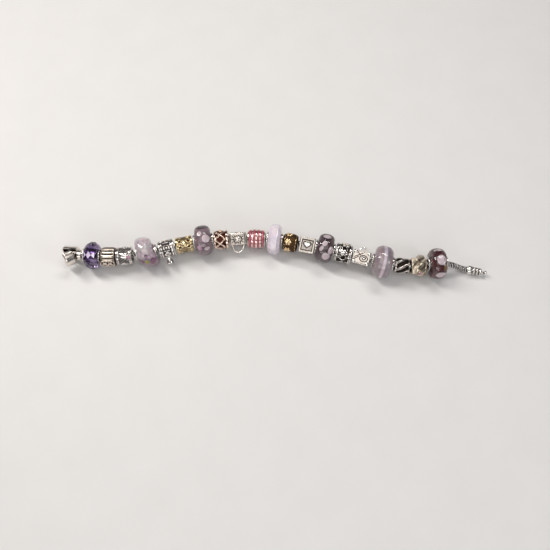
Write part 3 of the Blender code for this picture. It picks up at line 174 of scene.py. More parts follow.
def star_points(radius: float, tips: int = 5, waist: float = 0.45) -> Array:
    """A star: straight sides between tips at the radius and inner corners at its waist share.

    Args:
        radius: how far the tips reach.
        tips: how many of them it has.
        waist: the inner corners' reach, as a share of the radius.

    Returns:
        The outline's points, five on each side.
    """
    corner = np.arange(2 * tips)
    reach = np.where(corner % 2 == 0, radius, radius * waist)
    turn = corner * math.pi / tips - math.pi / 2.0
    corners = polar(reach, turn, 0.0)[:, :2]
    share = np.linspace(0.0, 1.0, 5, endpoint=False)[:, None]
    sides = corners[:, None] * (1.0 - share) + np.roll(corners, -1, axis=0)[:, None] * share
    return sides.reshape(-1, 2)


def turn_flat(x: Array, y: Array, turn: float) -> tuple[Array, Array]:
    """Flat points turned by an angle: (x cos t - y sin t, x sin t + y cos t)."""
    return x * math.cos(turn) - y * math.sin(turn), x * math.sin(turn) + y * math.cos(turn)


def oval_points(width: float, height: float, turn: float = 0.0, count: int = 32) -> Array:
    """An ellipse of a width and a height, turned by an angle."""
    t = circle(count)
    return points(*turn_flat(width / 2.0 * np.cos(t), height / 2.0 * np.sin(t), turn))


def leaf_points(length: float, width: float, turn: float) -> Array:
    """A leaf with a point at each end: cos t along it and sin t |sin t|^0.4 across, times half sizes."""
    t = circle(32)
    across = width / 2.0 * np.sin(t) * np.abs(np.sin(t)) ** 0.4
    return points(*turn_flat(length / 2.0 * np.cos(t), across, turn))


def at_height(flat: Array, height: float) -> Array:
    """Flat points, each given the same third number."""
    return points(flat[:, 0], flat[:, 1], height)


# Shells and how they are made

@dataclass
class Shell:
    """A closed surface: corners, faces of four and three, how raised each corner is, and its finish."""

    places: Array
    quads: Array
    tris: Array
    relief: Array
    slot: int = 0

    def outward(self) -> Shell:
        """The same shell with its faces pointing out, told by the sign of its volume."""
        p = self.places
        q = self.quads
        t = np.vstack([q[:, :3], q[:, [0, 2, 3]], self.tris])
        volume = np.einsum("ij,ij->", p[t[:, 0]], np.cross(p[t[:, 1]], p[t[:, 2]]))
        if volume < 0.0:
            return Shell(p, q[:, ::-1], self.tris[:, ::-1], self.relief, self.slot)
        return self

    def moved(self, frame: Array) -> Shell:
        """The shell placed by a frame."""
        return Shell(placed(self.places, frame), self.quads, self.tris, self.relief, self.slot)


def placed(places: Array, frame: Array) -> Array:
    """Places moved by a 4 by 4 frame: turned by its axes and shifted to its origin."""
    return places @ frame[:3, :3].T + frame[:3, 3]


def engraved(shell: Shell) -> Shell:
    """The same shell with the dark tarnish of an engraved line all over it."""
    shell.relief = np.zeros(len(shell.places))
    return shell


def shift(x: float = 0.0, y: float = 0.0, z: float = 0.0) -> Array:
    """A frame moved along X, Y and Z."""
    frame = np.eye(4)
    frame[:3, 3] = (x, y, z)
    return frame


def rotation(axis: int, angle: float) -> Array:
    """A frame turned round one of its own axes.

    Args:
        axis: 0 for X, 1 for Y or 2 for Z.
        angle: how far, in radians.

    Returns:
        The frame.
    """
    frame = np.eye(4)
    a, b = [(1, 2), (2, 0), (0, 1)][axis]
    frame[a, a] = frame[b, b] = math.cos(angle)
    frame[b, a] = math.sin(angle)
    frame[a, b] = -math.sin(angle)
    return frame


def loft(rows: Array, relief: Array | float = 1.0, closed: bool = False, slot: int = 0) -> Shell:
    """Join rings of points into one closed surface.

    Point (i, j) is joined to its neighbours in row i + 1 and column j + 1, and the columns wrap
    round. A closed loft's rows wrap too; an open one gets a point in the middle of each end.

    Args:
        rows: the rings, as (row, column, xyz).
        relief: how raised each point is, 0 in a recess and 1 on a crown.
        closed: whether the last ring joins the first.
        slot: the finish's number on the piece.

    Returns:
        The shell, its faces pointing out.
    """
    count, columns = rows.shape[:2]
    index = np.arange(count * columns).reshape(count, columns)
    if closed:
        index = np.vstack([index, index[:1]])
    index = np.hstack([index, index[:, :1]])
    quads = points(index[:-1, :-1], index[1:, :-1], index[1:, 1:], index[:-1, 1:])
    places = rows.reshape(-1, 3)
    height = np.broadcast_to(np.asarray(relief, dtype=float), rows.shape[:2]).reshape(-1)
    tris = np.empty((0, 3), dtype=int)
    if not closed:
        first, last = index[0], index[-1]
        middle = len(places)
        tris = np.vstack([points(middle, first[:-1], first[1:]), points(middle + 1, last[1:], last[:-1])])
        places = np.vstack([places, rows[0].mean(axis=0), rows[-1].mean(axis=0)])
        height = np.append(height, [height[0], height[-1]])
    return Shell(places, quads.reshape(-1, 4), tris, height, slot).outward()


def spun(profile: Array, sides: int = 48, closed: bool = False) -> Shell:
    """A turned shape: (radius, along) points carried round Z, (r cos a, r sin a, z).

    Args:
        profile: the points of the turned line.
        sides: how many points go round.
        closed: whether the line is a loop, as for a ring or a tube.

    Returns:
        The turned shell.
    """
    profile = np.asarray(profile, dtype=float)
    return loft(polar(profile[:, :1], circle(sides), profile[:, 1:]), closed=closed)


def lathed(line: list[tuple[float, float]], fillet: float, sides: int, solid: bool = True) -> Shell:
    """A turned body with round edges.

    Args:
        line: its corners, as (radius, along).
        fillet: the radius of its edges.
        sides: how many points go round.
        solid: whether the line's ends are joined to Z; a ring's are joined to each other.

    Returns:
        The body's shell.
    """
    if solid:
        return spun(filleted([(0.0, line[0][1]), *line, (0.0, line[-1][1])], fillet)[1:-1], sides)
    return spun(filleted([*line, line[0]], fillet)[:-1], sides, closed=True)


def filleted(line: list[tuple[float, float]], radius: float, steps: int = 4) -> Array:
    """A flat line of points with each inner corner rounded: B + r((1 - t)²a + t²c).

    Args:
        line: its corners; B is one of them.
        radius: r, cut down to half of the shorter side; a and c are the unit ways to the neighbours.
        steps: how many points a round corner gets.

    Returns:
        The rounded line, its two ends unchanged.
    """
    p = np.asarray(line, dtype=float)
    before = p[:-2] - p[1:-1]
    after = p[2:] - p[1:-1]
    room = np.minimum(np.linalg.norm(before, axis=1), np.linalg.norm(after, axis=1)) / 2.0
    reach = np.minimum(radius, room)[:, None, None]
    a = (before / np.linalg.norm(before, axis=1, keepdims=True))[:, None]
    c = (after / np.linalg.norm(after, axis=1, keepdims=True))[:, None]
    t = np.linspace(0.0, 1.0, steps)[None, :, None]
    round_parts = p[1:-1, None] + reach * ((1.0 - t) ** 2 * a + t ** 2 * c)
    return np.vstack([p[:1], round_parts.reshape(-1, 2), p[-1:]])


def around_path(path: Array, side: Array, up: Array, reach: Array, angle: Array) -> Array:
    """Rings round the points of a path: c + r(cos a · side + sin a · up), as (point, angle, xyz)."""
    ring = np.cos(angle)[..., None] * side[:, None] + np.sin(angle)[..., None] * up[:, None]
    return path[:, None] + reach[..., None] * ring


def wire(path: Array, radius: float | Array, sides: int = 10, closed: bool = False,
         reference: Point = (1.0, 0.0, 0.0), lobes: int = 0, twist: float = 0.0,
         slot: int = 0) -> Shell:
    """A wire: a ring carried along a path, c + r(cos a · side + sin a · up).

    The side is the cross product of the reference and the way ahead. With lobes, the ring's radius
    is r(1 + 0.18 cos(lobes · a + twist · s)), which makes a rope of that many strands.

    Args:
        path: the middle line's points.
        radius: the wire's radius, one for all or one for each point.
        sides: how many points a ring has.
        closed: whether the path is a loop.
        reference: a direction that the path never follows.
        lobes: the rope's strands, or none for a plain wire.
        twist: how far the strands turn for each millimetre.
        slot: the finish's number on the piece.

    Returns:
        The wire's shell.
    """
    if closed:
        ahead = np.roll(path, -1, axis=0) - np.roll(path, 1, axis=0)
    else:
        ahead = np.gradient(path, axis=0)
    ahead = ahead / np.linalg.norm(ahead, axis=1, keepdims=True)
    side = np.cross(np.asarray(reference), ahead)
    side = side / np.linalg.norm(side, axis=1, keepdims=True)
    up = np.cross(ahead, side)
    a = circle(sides)[None, :]
    run = np.concatenate([[0.0], np.cumsum(np.linalg.norm(np.diff(path, axis=0), axis=1))])[:, None]
    wave = np.cos(lobes * a + twist * run) if lobes else np.zeros((len(path), sides))
    reach = np.broadcast_to(radius, (len(path),))[:, None] * (1.0 + 0.18 * wave)
    relief = 0.5 + 0.5 * wave if lobes else 1.0
    return loft(around_path(path, side, up, reach, a), relief, closed, slot)


def hoop(radius: float, thickness: float) -> Shell:
    """A ring of round wire in its own XY plane, centred on its frame."""
    return wire(polar(radius, circle(40), 0.0), thickness, closed=True, reference=(0.0, 0.0, 1.0))


def ball(radius: float, centre: Point = (0.0, 0.0, 0.0), squash: Point = (1.0, 1.0, 1.0)) -> Shell:
    """A ball or an egg: (sin p cos a, sin p sin a, cos p) times its half sizes."""
    p = np.linspace(0.12, math.pi - 0.12, 11)[:, None]
    return loft(polar(np.sin(p), circle(18), np.cos(p)) * radius * np.asarray(squash) + np.asarray(centre))


def rounded_box(low: Point, high: Point, edge: float) -> Shell:
    """A box with round edges: rings of rounded rectangles, drawn in by edge(1 - cos) at both ends.

    Args:
        low: its lowest corner.
        high: its highest corner.
        edge: the radius of its edges.

    Returns:
        The box's shell.
    """
    low_point = np.asarray(low)
    high_point = np.asarray(high)
    half = (high_point - low_point) / 2.0
    swing = np.linspace(0.0, math.pi / 2.0, 4)
    corner = np.array([(1.0, 1.0), (-1.0, 1.0), (-1.0, -1.0), (1.0, -1.0)])
    turn = (np.arange(4)[:, None] * math.pi / 2.0 + swing[None, :]).reshape(-1)
    ring = np.repeat(corner, len(swing), axis=0) * (half[:2] - edge)
    arc = points(np.cos(turn), np.sin(turn))
    draw = np.concatenate([np.sin(swing), np.cos(swing)])
    inner = half[2] - edge
    height = np.concatenate([inner + edge * np.cos(swing), -inner - edge * np.sin(swing)])
    flat = ring[None] + edge * draw[:, None, None] * arc[None]
    rows = points(flat[..., 0], flat[..., 1], height[:, None])
    return loft(rows + (low_point + high_point) / 2.0)


def trough(outer: Array, inner: Array, start: float, stop: float) -> Shell:
    """Part of a turned wall: a loop of (radius, along) points carried from one angle to another.

    The loop runs along the outer points and back along the inner ones, which match them one to
    one, so that a strip of faces between the two closes each cut end. The inner side is painted
    dark: painted shade on the inside of the wall.

    Args:
        outer: the wall's outer line.
        inner: its inner line, with as many points.
        start: the angle of the first cut end.
        stop: the angle of the other.

    Returns:
        The wall's shell.
    """
    loop = np.vstack([outer, inner[::-1]])
    steps = 40
    rows = polar(loop[:, 0], np.linspace(start, stop, steps)[:, None], loop[:, 1])
    # Painted shade: a relief of 0.12 on the inner points darkens the wall's inner side
    shell = loft(rows, np.concatenate([np.ones(len(outer)), np.full(len(inner), 0.12)])[None])
    count = len(outer)
    k = np.arange(count - 1)
    strip = points(k, k + 1, 2 * count - 2 - k, 2 * count - 1 - k)
    last = strip + (steps - 1) * 2 * count
    side = shell.quads
    flipped = side[0, 0] != 0
    caps = np.vstack([strip[:, ::-1], last]) if flipped else np.vstack([strip, last[:, ::-1]])
    keep = len(shell.places) - 2
    return Shell(shell.places[:keep], np.vstack([side, caps]), np.empty((0, 3), dtype=int),
                 shell.relief[:keep])


@dataclass(frozen=True)
class Seat:
    """A place on a bead's surface, which bends a flat shape round the chain.

    A point (right, down, out) goes to the angle + down / r round the chain and the reach
    r(along) + out from it, so a disc drawn flat lies on the bead's skin.
    """

    radius: Callable[[Array], Array]
    angle: float = 0.0
    along: float = 0.0

    def place(self, spots: Array) -> Array:
        """Points (right, down, out), put in the face frame."""
        along = self.along + spots[..., 0]
        turn = self.angle + spots[..., 1] / float(self.radius(np.array(self.along)))
        return polar(self.radius(along) + spots[..., 2], turn, along)


def steady(radius: float) -> Callable[[Array], Array]:
    """A radius that is the same all along."""
    return lambda along: np.full_like(along, radius, dtype=float)


@dataclass(frozen=True)
class FlatSeat:
    """A place on a flat face, at a depth in front of the chain's middle."""

    depth: float
    down: float = 0.0
    along: float = 0.0
    turn: float = 0.0

    def place(self, spots: Array) -> Array:
        """Points (right, down, out), put in the face frame and turned round the chain if asked."""
        x, y = turn_flat(self.depth + spots[..., 2], self.down + spots[..., 1], self.turn)
        return points(x, y, self.along + spots[..., 0])


def pillow(outline: Array, height: float, seat: Seat | FlatSeat, sink: float = 0.4, slot: int = 0,
           crown: float = 0.5) -> Shell:
    """A raised shape with a round edge on a seat.

    Ring k is the outline times sin(t) at the height times cos(t) to the power of the crown, as t
    goes from near 0 to a quarter turn, and a last ring lies sunk under the surface.

    Args:
        outline: the shape's edge, as (right, down).
        height: how far its middle stands out.
        seat: where it sits.
        sink: how far its foot goes under the surface.
        slot: the finish's number on the piece.
        crown: 1 for a round cushion, less for a flatter top and a steeper edge.

    Returns:
        The raised shape's shell.
    """
    t = np.linspace(0.12, math.pi / 2.0, 7)[:, None]
    flat = outline[None] * np.sin(t)[..., None]
    out = np.broadcast_to(height * np.cos(t).clip(0.0) ** crown, flat.shape[:2])[..., None]
    rings = np.concatenate([flat, out], axis=-1)
    foot = rings[-1:].copy()
    foot[..., 2] = -sink
    places = seat.place(np.concatenate([rings, foot]))
    relief = np.append(0.55 + 0.45 * np.cos(t[:, 0]), 0.0)[:, None]
    return loft(places, relief, slot=slot)


def drum(length: float, skin: Callable[[Array, Array], tuple[Array, Array]], edge: float = 0.3,
         around: int = 192, along: int = 72) -> Shell:
    """A bored bead whose outside is any surface round the chain.

    The outside is (r cos a, r sin a, z) with r from the skin at angle a and place z, drawn in by
    edge(1 - cos t) while z passes the round edge at either end, and the bore closes it.

    Args:
        length: the bead's length along the chain.
        skin: gives the radius and the relief, 0 to 1, at each angle and place along.
        edge: the radius of the round edges.
        around: points round the bead.
        along: rows between the round edges.

    Returns:
        The bead's shell.
    """
    end = length / 2.0
    t = np.linspace(math.pi / 2.0, 0.0, 5)[:-1]
    tail = end - edge + edge * np.sin(t)
    z = np.concatenate([tail, np.linspace(end - edge, edge - end, along), -tail[::-1]])[:, None]
    draw = np.concatenate([edge * (1.0 - np.cos(t)), np.zeros(along), edge * (1.0 - np.cos(t[::-1]))])
    a = np.linspace(-math.pi, math.pi, around, endpoint=False)[None, :]
    r, relief = skin(a, z)
    shape = (len(z), around)
    r = np.broadcast_to(r, shape) - draw[:, None]
    mouth = BORE_RADIUS + BORE_CHAMFER
    depth = end - CHAMFER_DEPTH
    bore = np.array([(mouth, -end), (BORE_RADIUS, -depth), (BORE_RADIUS, depth), (mouth, end)])
    rows = np.concatenate([polar(r, a, z), polar(bore[:, :1], a, bore[:, 1:])])
    height = np.concatenate([np.broadcast_to(relief, shape), np.full((4, around), 0.3)])
    return loft(rows, height, closed=True)


# Finishes

class Board:
    """A node tree with short calls to add and join nodes."""

    def __init__(self, tree: bpy.types.NodeTree) -> None:
        """Take up a node tree."""
        self.tree = tree

    def add(self, kind: str, values: dict | None = None, **settings: object) -> bpy.types.Node:
        """A new node with its settings, and its sockets set or joined.

        Args:
            kind: the node's type.
            values: for each socket's name or number, a value or another node's socket.
            settings: the node's own options.

        Returns:
            The new node.
        """
        node = self.tree.nodes.new(kind)
        for key, value in settings.items():
            setattr(node, key, value)
        for key, value in (values or {}).items():
            self.feed(node, key, value)
        return node

    def feed(self, node: bpy.types.Node, key: str | int, value: object) -> None:
        """Set a socket to a value, or join it to another node's socket.

        Args:
            node: the node that has the socket.
            key: the socket's name or number.
            value: a number, a colour or a socket.
        """
        if isinstance(value, Socket):
            self.tree.links.new(value, node.inputs[key])
        elif isinstance(value, tuple) and len(value) == 3 and node.inputs[key].type == "RGBA":
            node.inputs[key].default_value = (*value, 1.0)
        else:
            node.inputs[key].default_value = value

    def place(self) -> Socket:
        """The object's own coordinates."""
        return self.add("ShaderNodeTexCoord").outputs["Object"]

    def relief(self) -> Socket:
        """How raised the surface is, from the meshes' relief attribute."""
        return self.add("ShaderNodeAttribute", attribute_name="relief").outputs["Fac"]

    def noise(self, scale: object, detail: float, distortion: float = 0.0) -> Socket:
        """A cloud of noise over the object, from 0 to 1."""
        values = {"Vector": self.place(), "Scale": scale, "Detail": detail, "Distortion": distortion}
        return self.add("ShaderNodeTexNoise", values).outputs["Fac"]

    def eased(self, value: object, low: object, high: object) -> Socket:
        """The smooth step of a value: 0 below low and 1 above high."""
        return self.add("ShaderNodeMapRange", {"Value": value, "From Min": low, "From Max": high},
                        interpolation_type="SMOOTHSTEP").outputs[0]

    def sum_of(self, value: object, factor: float, extra: object) -> Socket:
        """A value times a factor, plus an extra."""
        sockets = {0: value, 1: factor, 2: extra}
        return self.add("ShaderNodeMath", sockets, operation="MULTIPLY_ADD").outputs[0]

    def mix(self, share: object, first: object, second: object, colour: bool = True) -> Socket:
        """A mix of two colours, or of two numbers, by a share.

        Args:
            share: 0 for the first and 1 for the second.
            first: a colour, a number or a socket.
            second: another.
            colour: whether they are colours.

        Returns:
            The mix's socket.
        """
        start = 6 if colour else 2
        node = self.add("ShaderNodeMix", {0: share, start: first, start + 1: second},
                        data_type="RGBA" if colour else "FLOAT")
        return node.outputs[2 if colour else 0]

    def bump(self, height: object, strength: object, distance: float) -> Socket:
        """A bumped normal; the distance is the height of a full bump, in metres."""
        return self.add("ShaderNodeBump", {
            "Height": height, "Strength": strength, "Distance": distance}).outputs[0]

    def finished(self, made: dict[str, object]) -> bpy.types.NodeTree:
        """The group with its outputs joined up."""
        for key, value in made.items():
            self.feed(self.tree.nodes["made"], key, value)
        return self.tree


class Kind(Enum):
    """The kinds of socket that a group has."""

    COLOUR = "NodeSocketColor"
    NUMBER = "NodeSocketFloat"
    VECTOR = "NodeSocketVector"


def new_group(name: str, inputs: dict[str, Kind], outputs: dict[str, Kind]) -> Board:
    """An empty shader node group with named sockets.

    Args:
        name: the group's name.
        inputs: the kinds of its inputs.
        outputs: the kinds of its outputs.

    Returns:
        The board of the new group, with its Group Input and Group Output nodes.
    """
    tree = bpy.data.node_groups.new(name, "ShaderNodeTree")
    for key, kind in inputs.items():
        tree.interface.new_socket(key, in_out="INPUT", socket_type=kind.value)
    for key, kind in outputs.items():
        tree.interface.new_socket(key, in_out="OUTPUT", socket_type=kind.value)
    board = Board(tree)
    board.add("NodeGroupInput", name="given")
    board.add("NodeGroupOutput", name="made")
    return board


def worn_metal_group() -> bpy.types.NodeTree:
    """Cast metal: dark tarnish in the recesses, bright crowns, a cloudy wear and fine scratches.

    The relief attribute, moved a little by a cloud of noise, is eased from Low to High; that share
    mixes the dark colour with the bright one and the dull roughness with the polished one.

    Returns:
        The group's tree.
    """
    board = new_group("worn_metal", {
        "Bright": Kind.COLOUR, "Dark": Kind.COLOUR, "Low": Kind.NUMBER, "High": Kind.NUMBER,
        "Polished": Kind.NUMBER, "Dull": Kind.NUMBER, "Scratch": Kind.NUMBER,
    }, {"Colour": Kind.COLOUR, "Roughness": Kind.NUMBER, "Normal": Kind.VECTOR})
    given = board.tree.nodes["given"].outputs
    stir = board.sum_of(board.noise(TARNISH_SCALE, 4.0), 1.0, -0.5)
    share = board.eased(board.sum_of(stir, 0.35, board.relief()), given["Low"], given["High"])
    wear = board.add("ShaderNodeMapRange", {"Value": board.noise(WEAR_SCALE, 3.0), "From Min": 0.35,
                                            "From Max": 0.7, "To Min": 0.82, "To Max": 1.0}).outputs[0]
    colour = board.mix(share, given["Dark"], given["Bright"])
    rough = board.mix(share, given["Dull"], given["Polished"], colour=False)
    return board.finished({
        "Colour": board.add("ShaderNodeVectorMath", {0: colour, "Scale": wear}, operation="SCALE").outputs[0],
        "Roughness": board.sum_of(stir, 0.12, rough),
        "Normal": board.bump(board.noise(SCRATCH_SCALE, 5.0), given["Scratch"], SCRATCH_HEIGHT),
    })


def cloudy_group() -> bpy.types.NodeTree:
    """Uneven glass or enamel: two tints mixed by soft swirls, and a faint ripple of the surface.

    Where the relief attribute falls from 1 to 0, the swirls give way to the third tint, Shade: painted shade
    on some bodies and a pale stripe on one.

    Returns:
        The group's tree.
    """
    board = new_group("cloudy", {
        "Light": Kind.COLOUR, "Deep": Kind.COLOUR, "Shade": Kind.COLOUR, "Scale": Kind.NUMBER,
        "Ripple": Kind.NUMBER,
    }, {"Colour": Kind.COLOUR, "Normal": Kind.VECTOR})
    given = board.tree.nodes["given"].outputs
    share = board.eased(board.noise(given["Scale"], 3.0, 0.8), 0.36, 0.66)
    swirls = board.mix(share, given["Light"], given["Deep"])
    return board.finished({
        "Colour": board.mix(board.relief(), given["Shade"], swirls),
        "Normal": board.bump(board.noise(RIPPLE_SCALE, 1.0), given["Ripple"], RIPPLE_HEIGHT),
    })


GROUPS: dict[str, bpy.types.NodeTree] = {}


def surface(name: str, group: str, values: dict, constants: dict,
            joins: dict[str, str]) -> bpy.types.Material:
    """A material: one group feeding a Principled shader.

    Args:
        name: the material's name.
        group: the group's name.
        values: the values on the group's inputs.
        constants: the values on the shader's own sockets.
        joins: which output of the group feeds which input of the shader.

    Returns:
        The new material.
    """
    material = bpy.data.materials.new(name)
    material.use_nodes = True
    board = Board(material.node_tree)
    shader = material.node_tree.nodes["Principled BSDF"]
    effect = board.add("ShaderNodeGroup", node_tree=GROUPS[group])
    for key, value in values.items():
        board.feed(effect, key, value)
    for key, value in constants.items():
        board.feed(shader, key, value)
    for output, target in joins.items():
        board.feed(shader, target, effect.outputs[output])
    return material


@dataclass(frozen=True)
class MetalFinish:
    """Cast metal with tarnished recesses."""

    name: str
    bright: Colour
    dark: Colour
    polished: float = 0.16
    dull: float = 0.5
    low: float = 0.25
    high: float = 0.75
    scratch: float = 0.25

    def material(self) -> bpy.types.Material:
        """The material of this metal."""
        return surface(self.name, "worn_metal", {
            "Bright": self.bright, "Dark": self.dark, "Low": self.low, "High": self.high,
            "Polished": self.polished, "Dull": self.dull, "Scratch": self.scratch,
        }, {"Metallic": 1.0}, {"Colour": "Base Color", "Roughness": "Roughness", "Normal": "Normal"})


def cloudy_surface(finish: GlassFinish | BodyFinish, constants: dict[str, float]) -> bpy.types.Material:
    """A cloudy material: the finish's tints, and constants on the shader's own sockets."""
    values = {key.capitalize(): getattr(finish, key) for key in ("light", "deep", "shade", "scale", "ripple")}
    return surface(finish.name, "cloudy", values, constants, {"Colour": "Base Color", "Normal": "Normal"})


@dataclass(frozen=True)
class GlassFinish:
    """Clear or tinted glass that light goes through."""

    name: str
    light: Colour
    deep: Colour
    roughness: float = 0.02
    ripple: float = 0.05
    scale: float = 300.0
    through: float = 1.0
    shade: Colour = (0.9, 0.9, 0.9)

    def material(self) -> bpy.types.Material:
        """The material of this glass."""
        return cloudy_surface(self, {"Metallic": 0.0, "Roughness": self.roughness,
                                     "Transmission Weight": self.through, "IOR": 1.5})


@dataclass(frozen=True)
class BodyFinish:
    """Milky or opaque coloured glass, or enamel, glossy all over."""

    name: str
    light: Colour
    deep: Colour
    roughness: float = 0.25
    coat: float = 0.6
    ripple: float = 0.05
    scale: float = 350.0
    soft: float = 0.0
    shade: Colour = (0.1, 0.1, 0.1)

    def material(self) -> bpy.types.Material:
        """The material of this glass or enamel."""
        return cloudy_surface(self, {
            "Roughness": self.roughness, "Coat Weight": self.coat, "Coat Roughness": 0.04,
            "Subsurface Weight": self.soft, "Subsurface Scale": 0.002})


SILVER = MetalFinish("bright_silver", (0.90, 0.86, 0.82), (0.045, 0.035, 0.03))
CHAIN_SILVER = MetalFinish("chain_silver", (0.84, 0.81, 0.79), (0.02, 0.018, 0.017), polished=0.26, high=0.8)
DARK_SILVER = MetalFinish("dark_silver", (0.80, 0.74, 0.68), (0.03, 0.024, 0.02), low=0.45, high=0.95)
SATIN_SILVER = MetalFinish("satin_silver", (0.70, 0.64, 0.58), (0.045, 0.035, 0.03), polished=0.27,
                           high=0.9, scratch=0.5)
PALE_SILVER = MetalFinish("pale_silver", (0.87, 0.80, 0.74), (0.045, 0.035, 0.03), polished=0.25)
WARM_SILVER = MetalFinish("warm_silver", (0.80, 0.70, 0.60), (0.05, 0.035, 0.025), polished=0.2,
                          low=0.45, high=1.0)
BRONZED = MetalFinish("bronzed_silver", (0.66, 0.57, 0.45), (0.09, 0.065, 0.04), polished=0.26,
                      low=0.2, high=0.9)
GOLD = MetalFinish("warm_gold", (0.97, 0.80, 0.50), (0.10, 0.05, 0.015))
DARK_GOLD = MetalFinish("dark_gold", (0.92, 0.68, 0.40), (0.06, 0.03, 0.012), low=0.35, high=0.9)
ROSE_GOLD = MetalFinish("rose_gold", (0.93, 0.72, 0.60), (0.10, 0.035, 0.025), low=0.3, high=0.8)
ENAMEL = BodyFinish("red_pink_enamel", (0.53, 0.09, 0.13), (0.42, 0.06, 0.09), roughness=0.12, coat=1.0)
# Painted highlight: an opaque pale lilac on some facets of the cut bead, standing in for the lights' glint
PAINTED_GLINT = BodyFinish("painted_glint_lilac", (0.70, 0.60, 0.78), (0.52, 0.42, 0.62), roughness=0.08, coat=1.0,
                        scale=900.0)
CLEAR = GlassFinish("clear_casing", (1.0, 0.985, 1.0), (0.97, 0.95, 0.97))
STONE = GlassFinish("pink_stone", (0.95, 0.62, 0.78), (0.90, 0.50, 0.68), ripple=0.0, through=0.7)


# The pieces' meshes

class Slot(Enum):
    """The record's material slots."""

    SILVER = "silver"
    CHAIN = "chain_silver"
    DARK = "dark_silver"
    GOLD = "gold"
    ROSE = "rose_gold"
    PURPLE = "purple_glass"
    PINK = "pink_glass"
    MAUVE = "mauve_glass"
    PALE = "pale_glass"
    SMOKY = "smoky_glass"
    GREY = "grey_glass"
    MAROON = "maroon_glass"
    ENAMEL = "enamel"
    STONE = "pink_stone"


MADE: dict[str, bpy.types.Material] = {}


def finish_of(finish: MetalFinish | GlassFinish | BodyFinish) -> bpy.types.Material:
    """The finish's material, made once."""
    if finish.name not in MADE:
        MADE[finish.name] = finish.material()
    return MADE[finish.name]


def make_piece(name: str, shells: list[Shell], frame: Array, finishes: list,
               replaces: tuple[str, ...] = (), body: str = "bracelet",
               crease: float = 40.0) -> bpy.types.Object:
    """Join shells into one object at the origin, dress it and hand it to the frame.

    Args:
        name: the piece's name.
        shells: its closed surfaces, in millimetres.
        frame: where they stand, in metres.
        finishes: the finishes that the shells' slots number.
        replaces: the CAD nodes that it stands for.
        body: the body that it rides on.
        crease: the angle past which an edge stays sharp, in degrees.

    Returns:
        The new object.
    """
    starts = np.cumsum([0] + [len(s.places) for s in shells])
    places = placed(np.vstack([s.places for s in shells]) * MM, frame)
    quads = np.vstack([s.quads + start for s, start in zip(shells, starts)])
    tris = np.vstack([s.tris + start for s, start in zip(shells, starts)])
    mesh = bpy.data.meshes.new(name)
    mesh.from_pydata(places, [], quads.tolist() + tris.tolist())
    numbers = np.concatenate([np.full(len(s.quads), s.slot) for s in shells]
                             + [np.full(len(s.tris), s.slot) for s in shells])
    mesh.polygons.foreach_set("material_index", numbers.astype(np.int32))
    mesh.validate()
    raised = mesh.attributes.new("relief", "FLOAT", "POINT")
    raised.data.foreach_set("value", np.concatenate([s.relief for s in shells]).astype(np.float32))
    for finish in finishes:
        mesh.materials.append(finish_of(finish))
    mesh.shade_smooth()
    mesh.set_sharp_from_angle(angle=math.radians(crease))
    piece = bpy.data.objects.new(name, mesh)
    bpy.context.scene.collection.objects.link(piece)
    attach(piece, body)
    if replaces:
        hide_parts(*replaces)
    LOG.info("%s: %d triangles", name, 2 * len(quads) + len(tris))
    return piece


# The chain's route

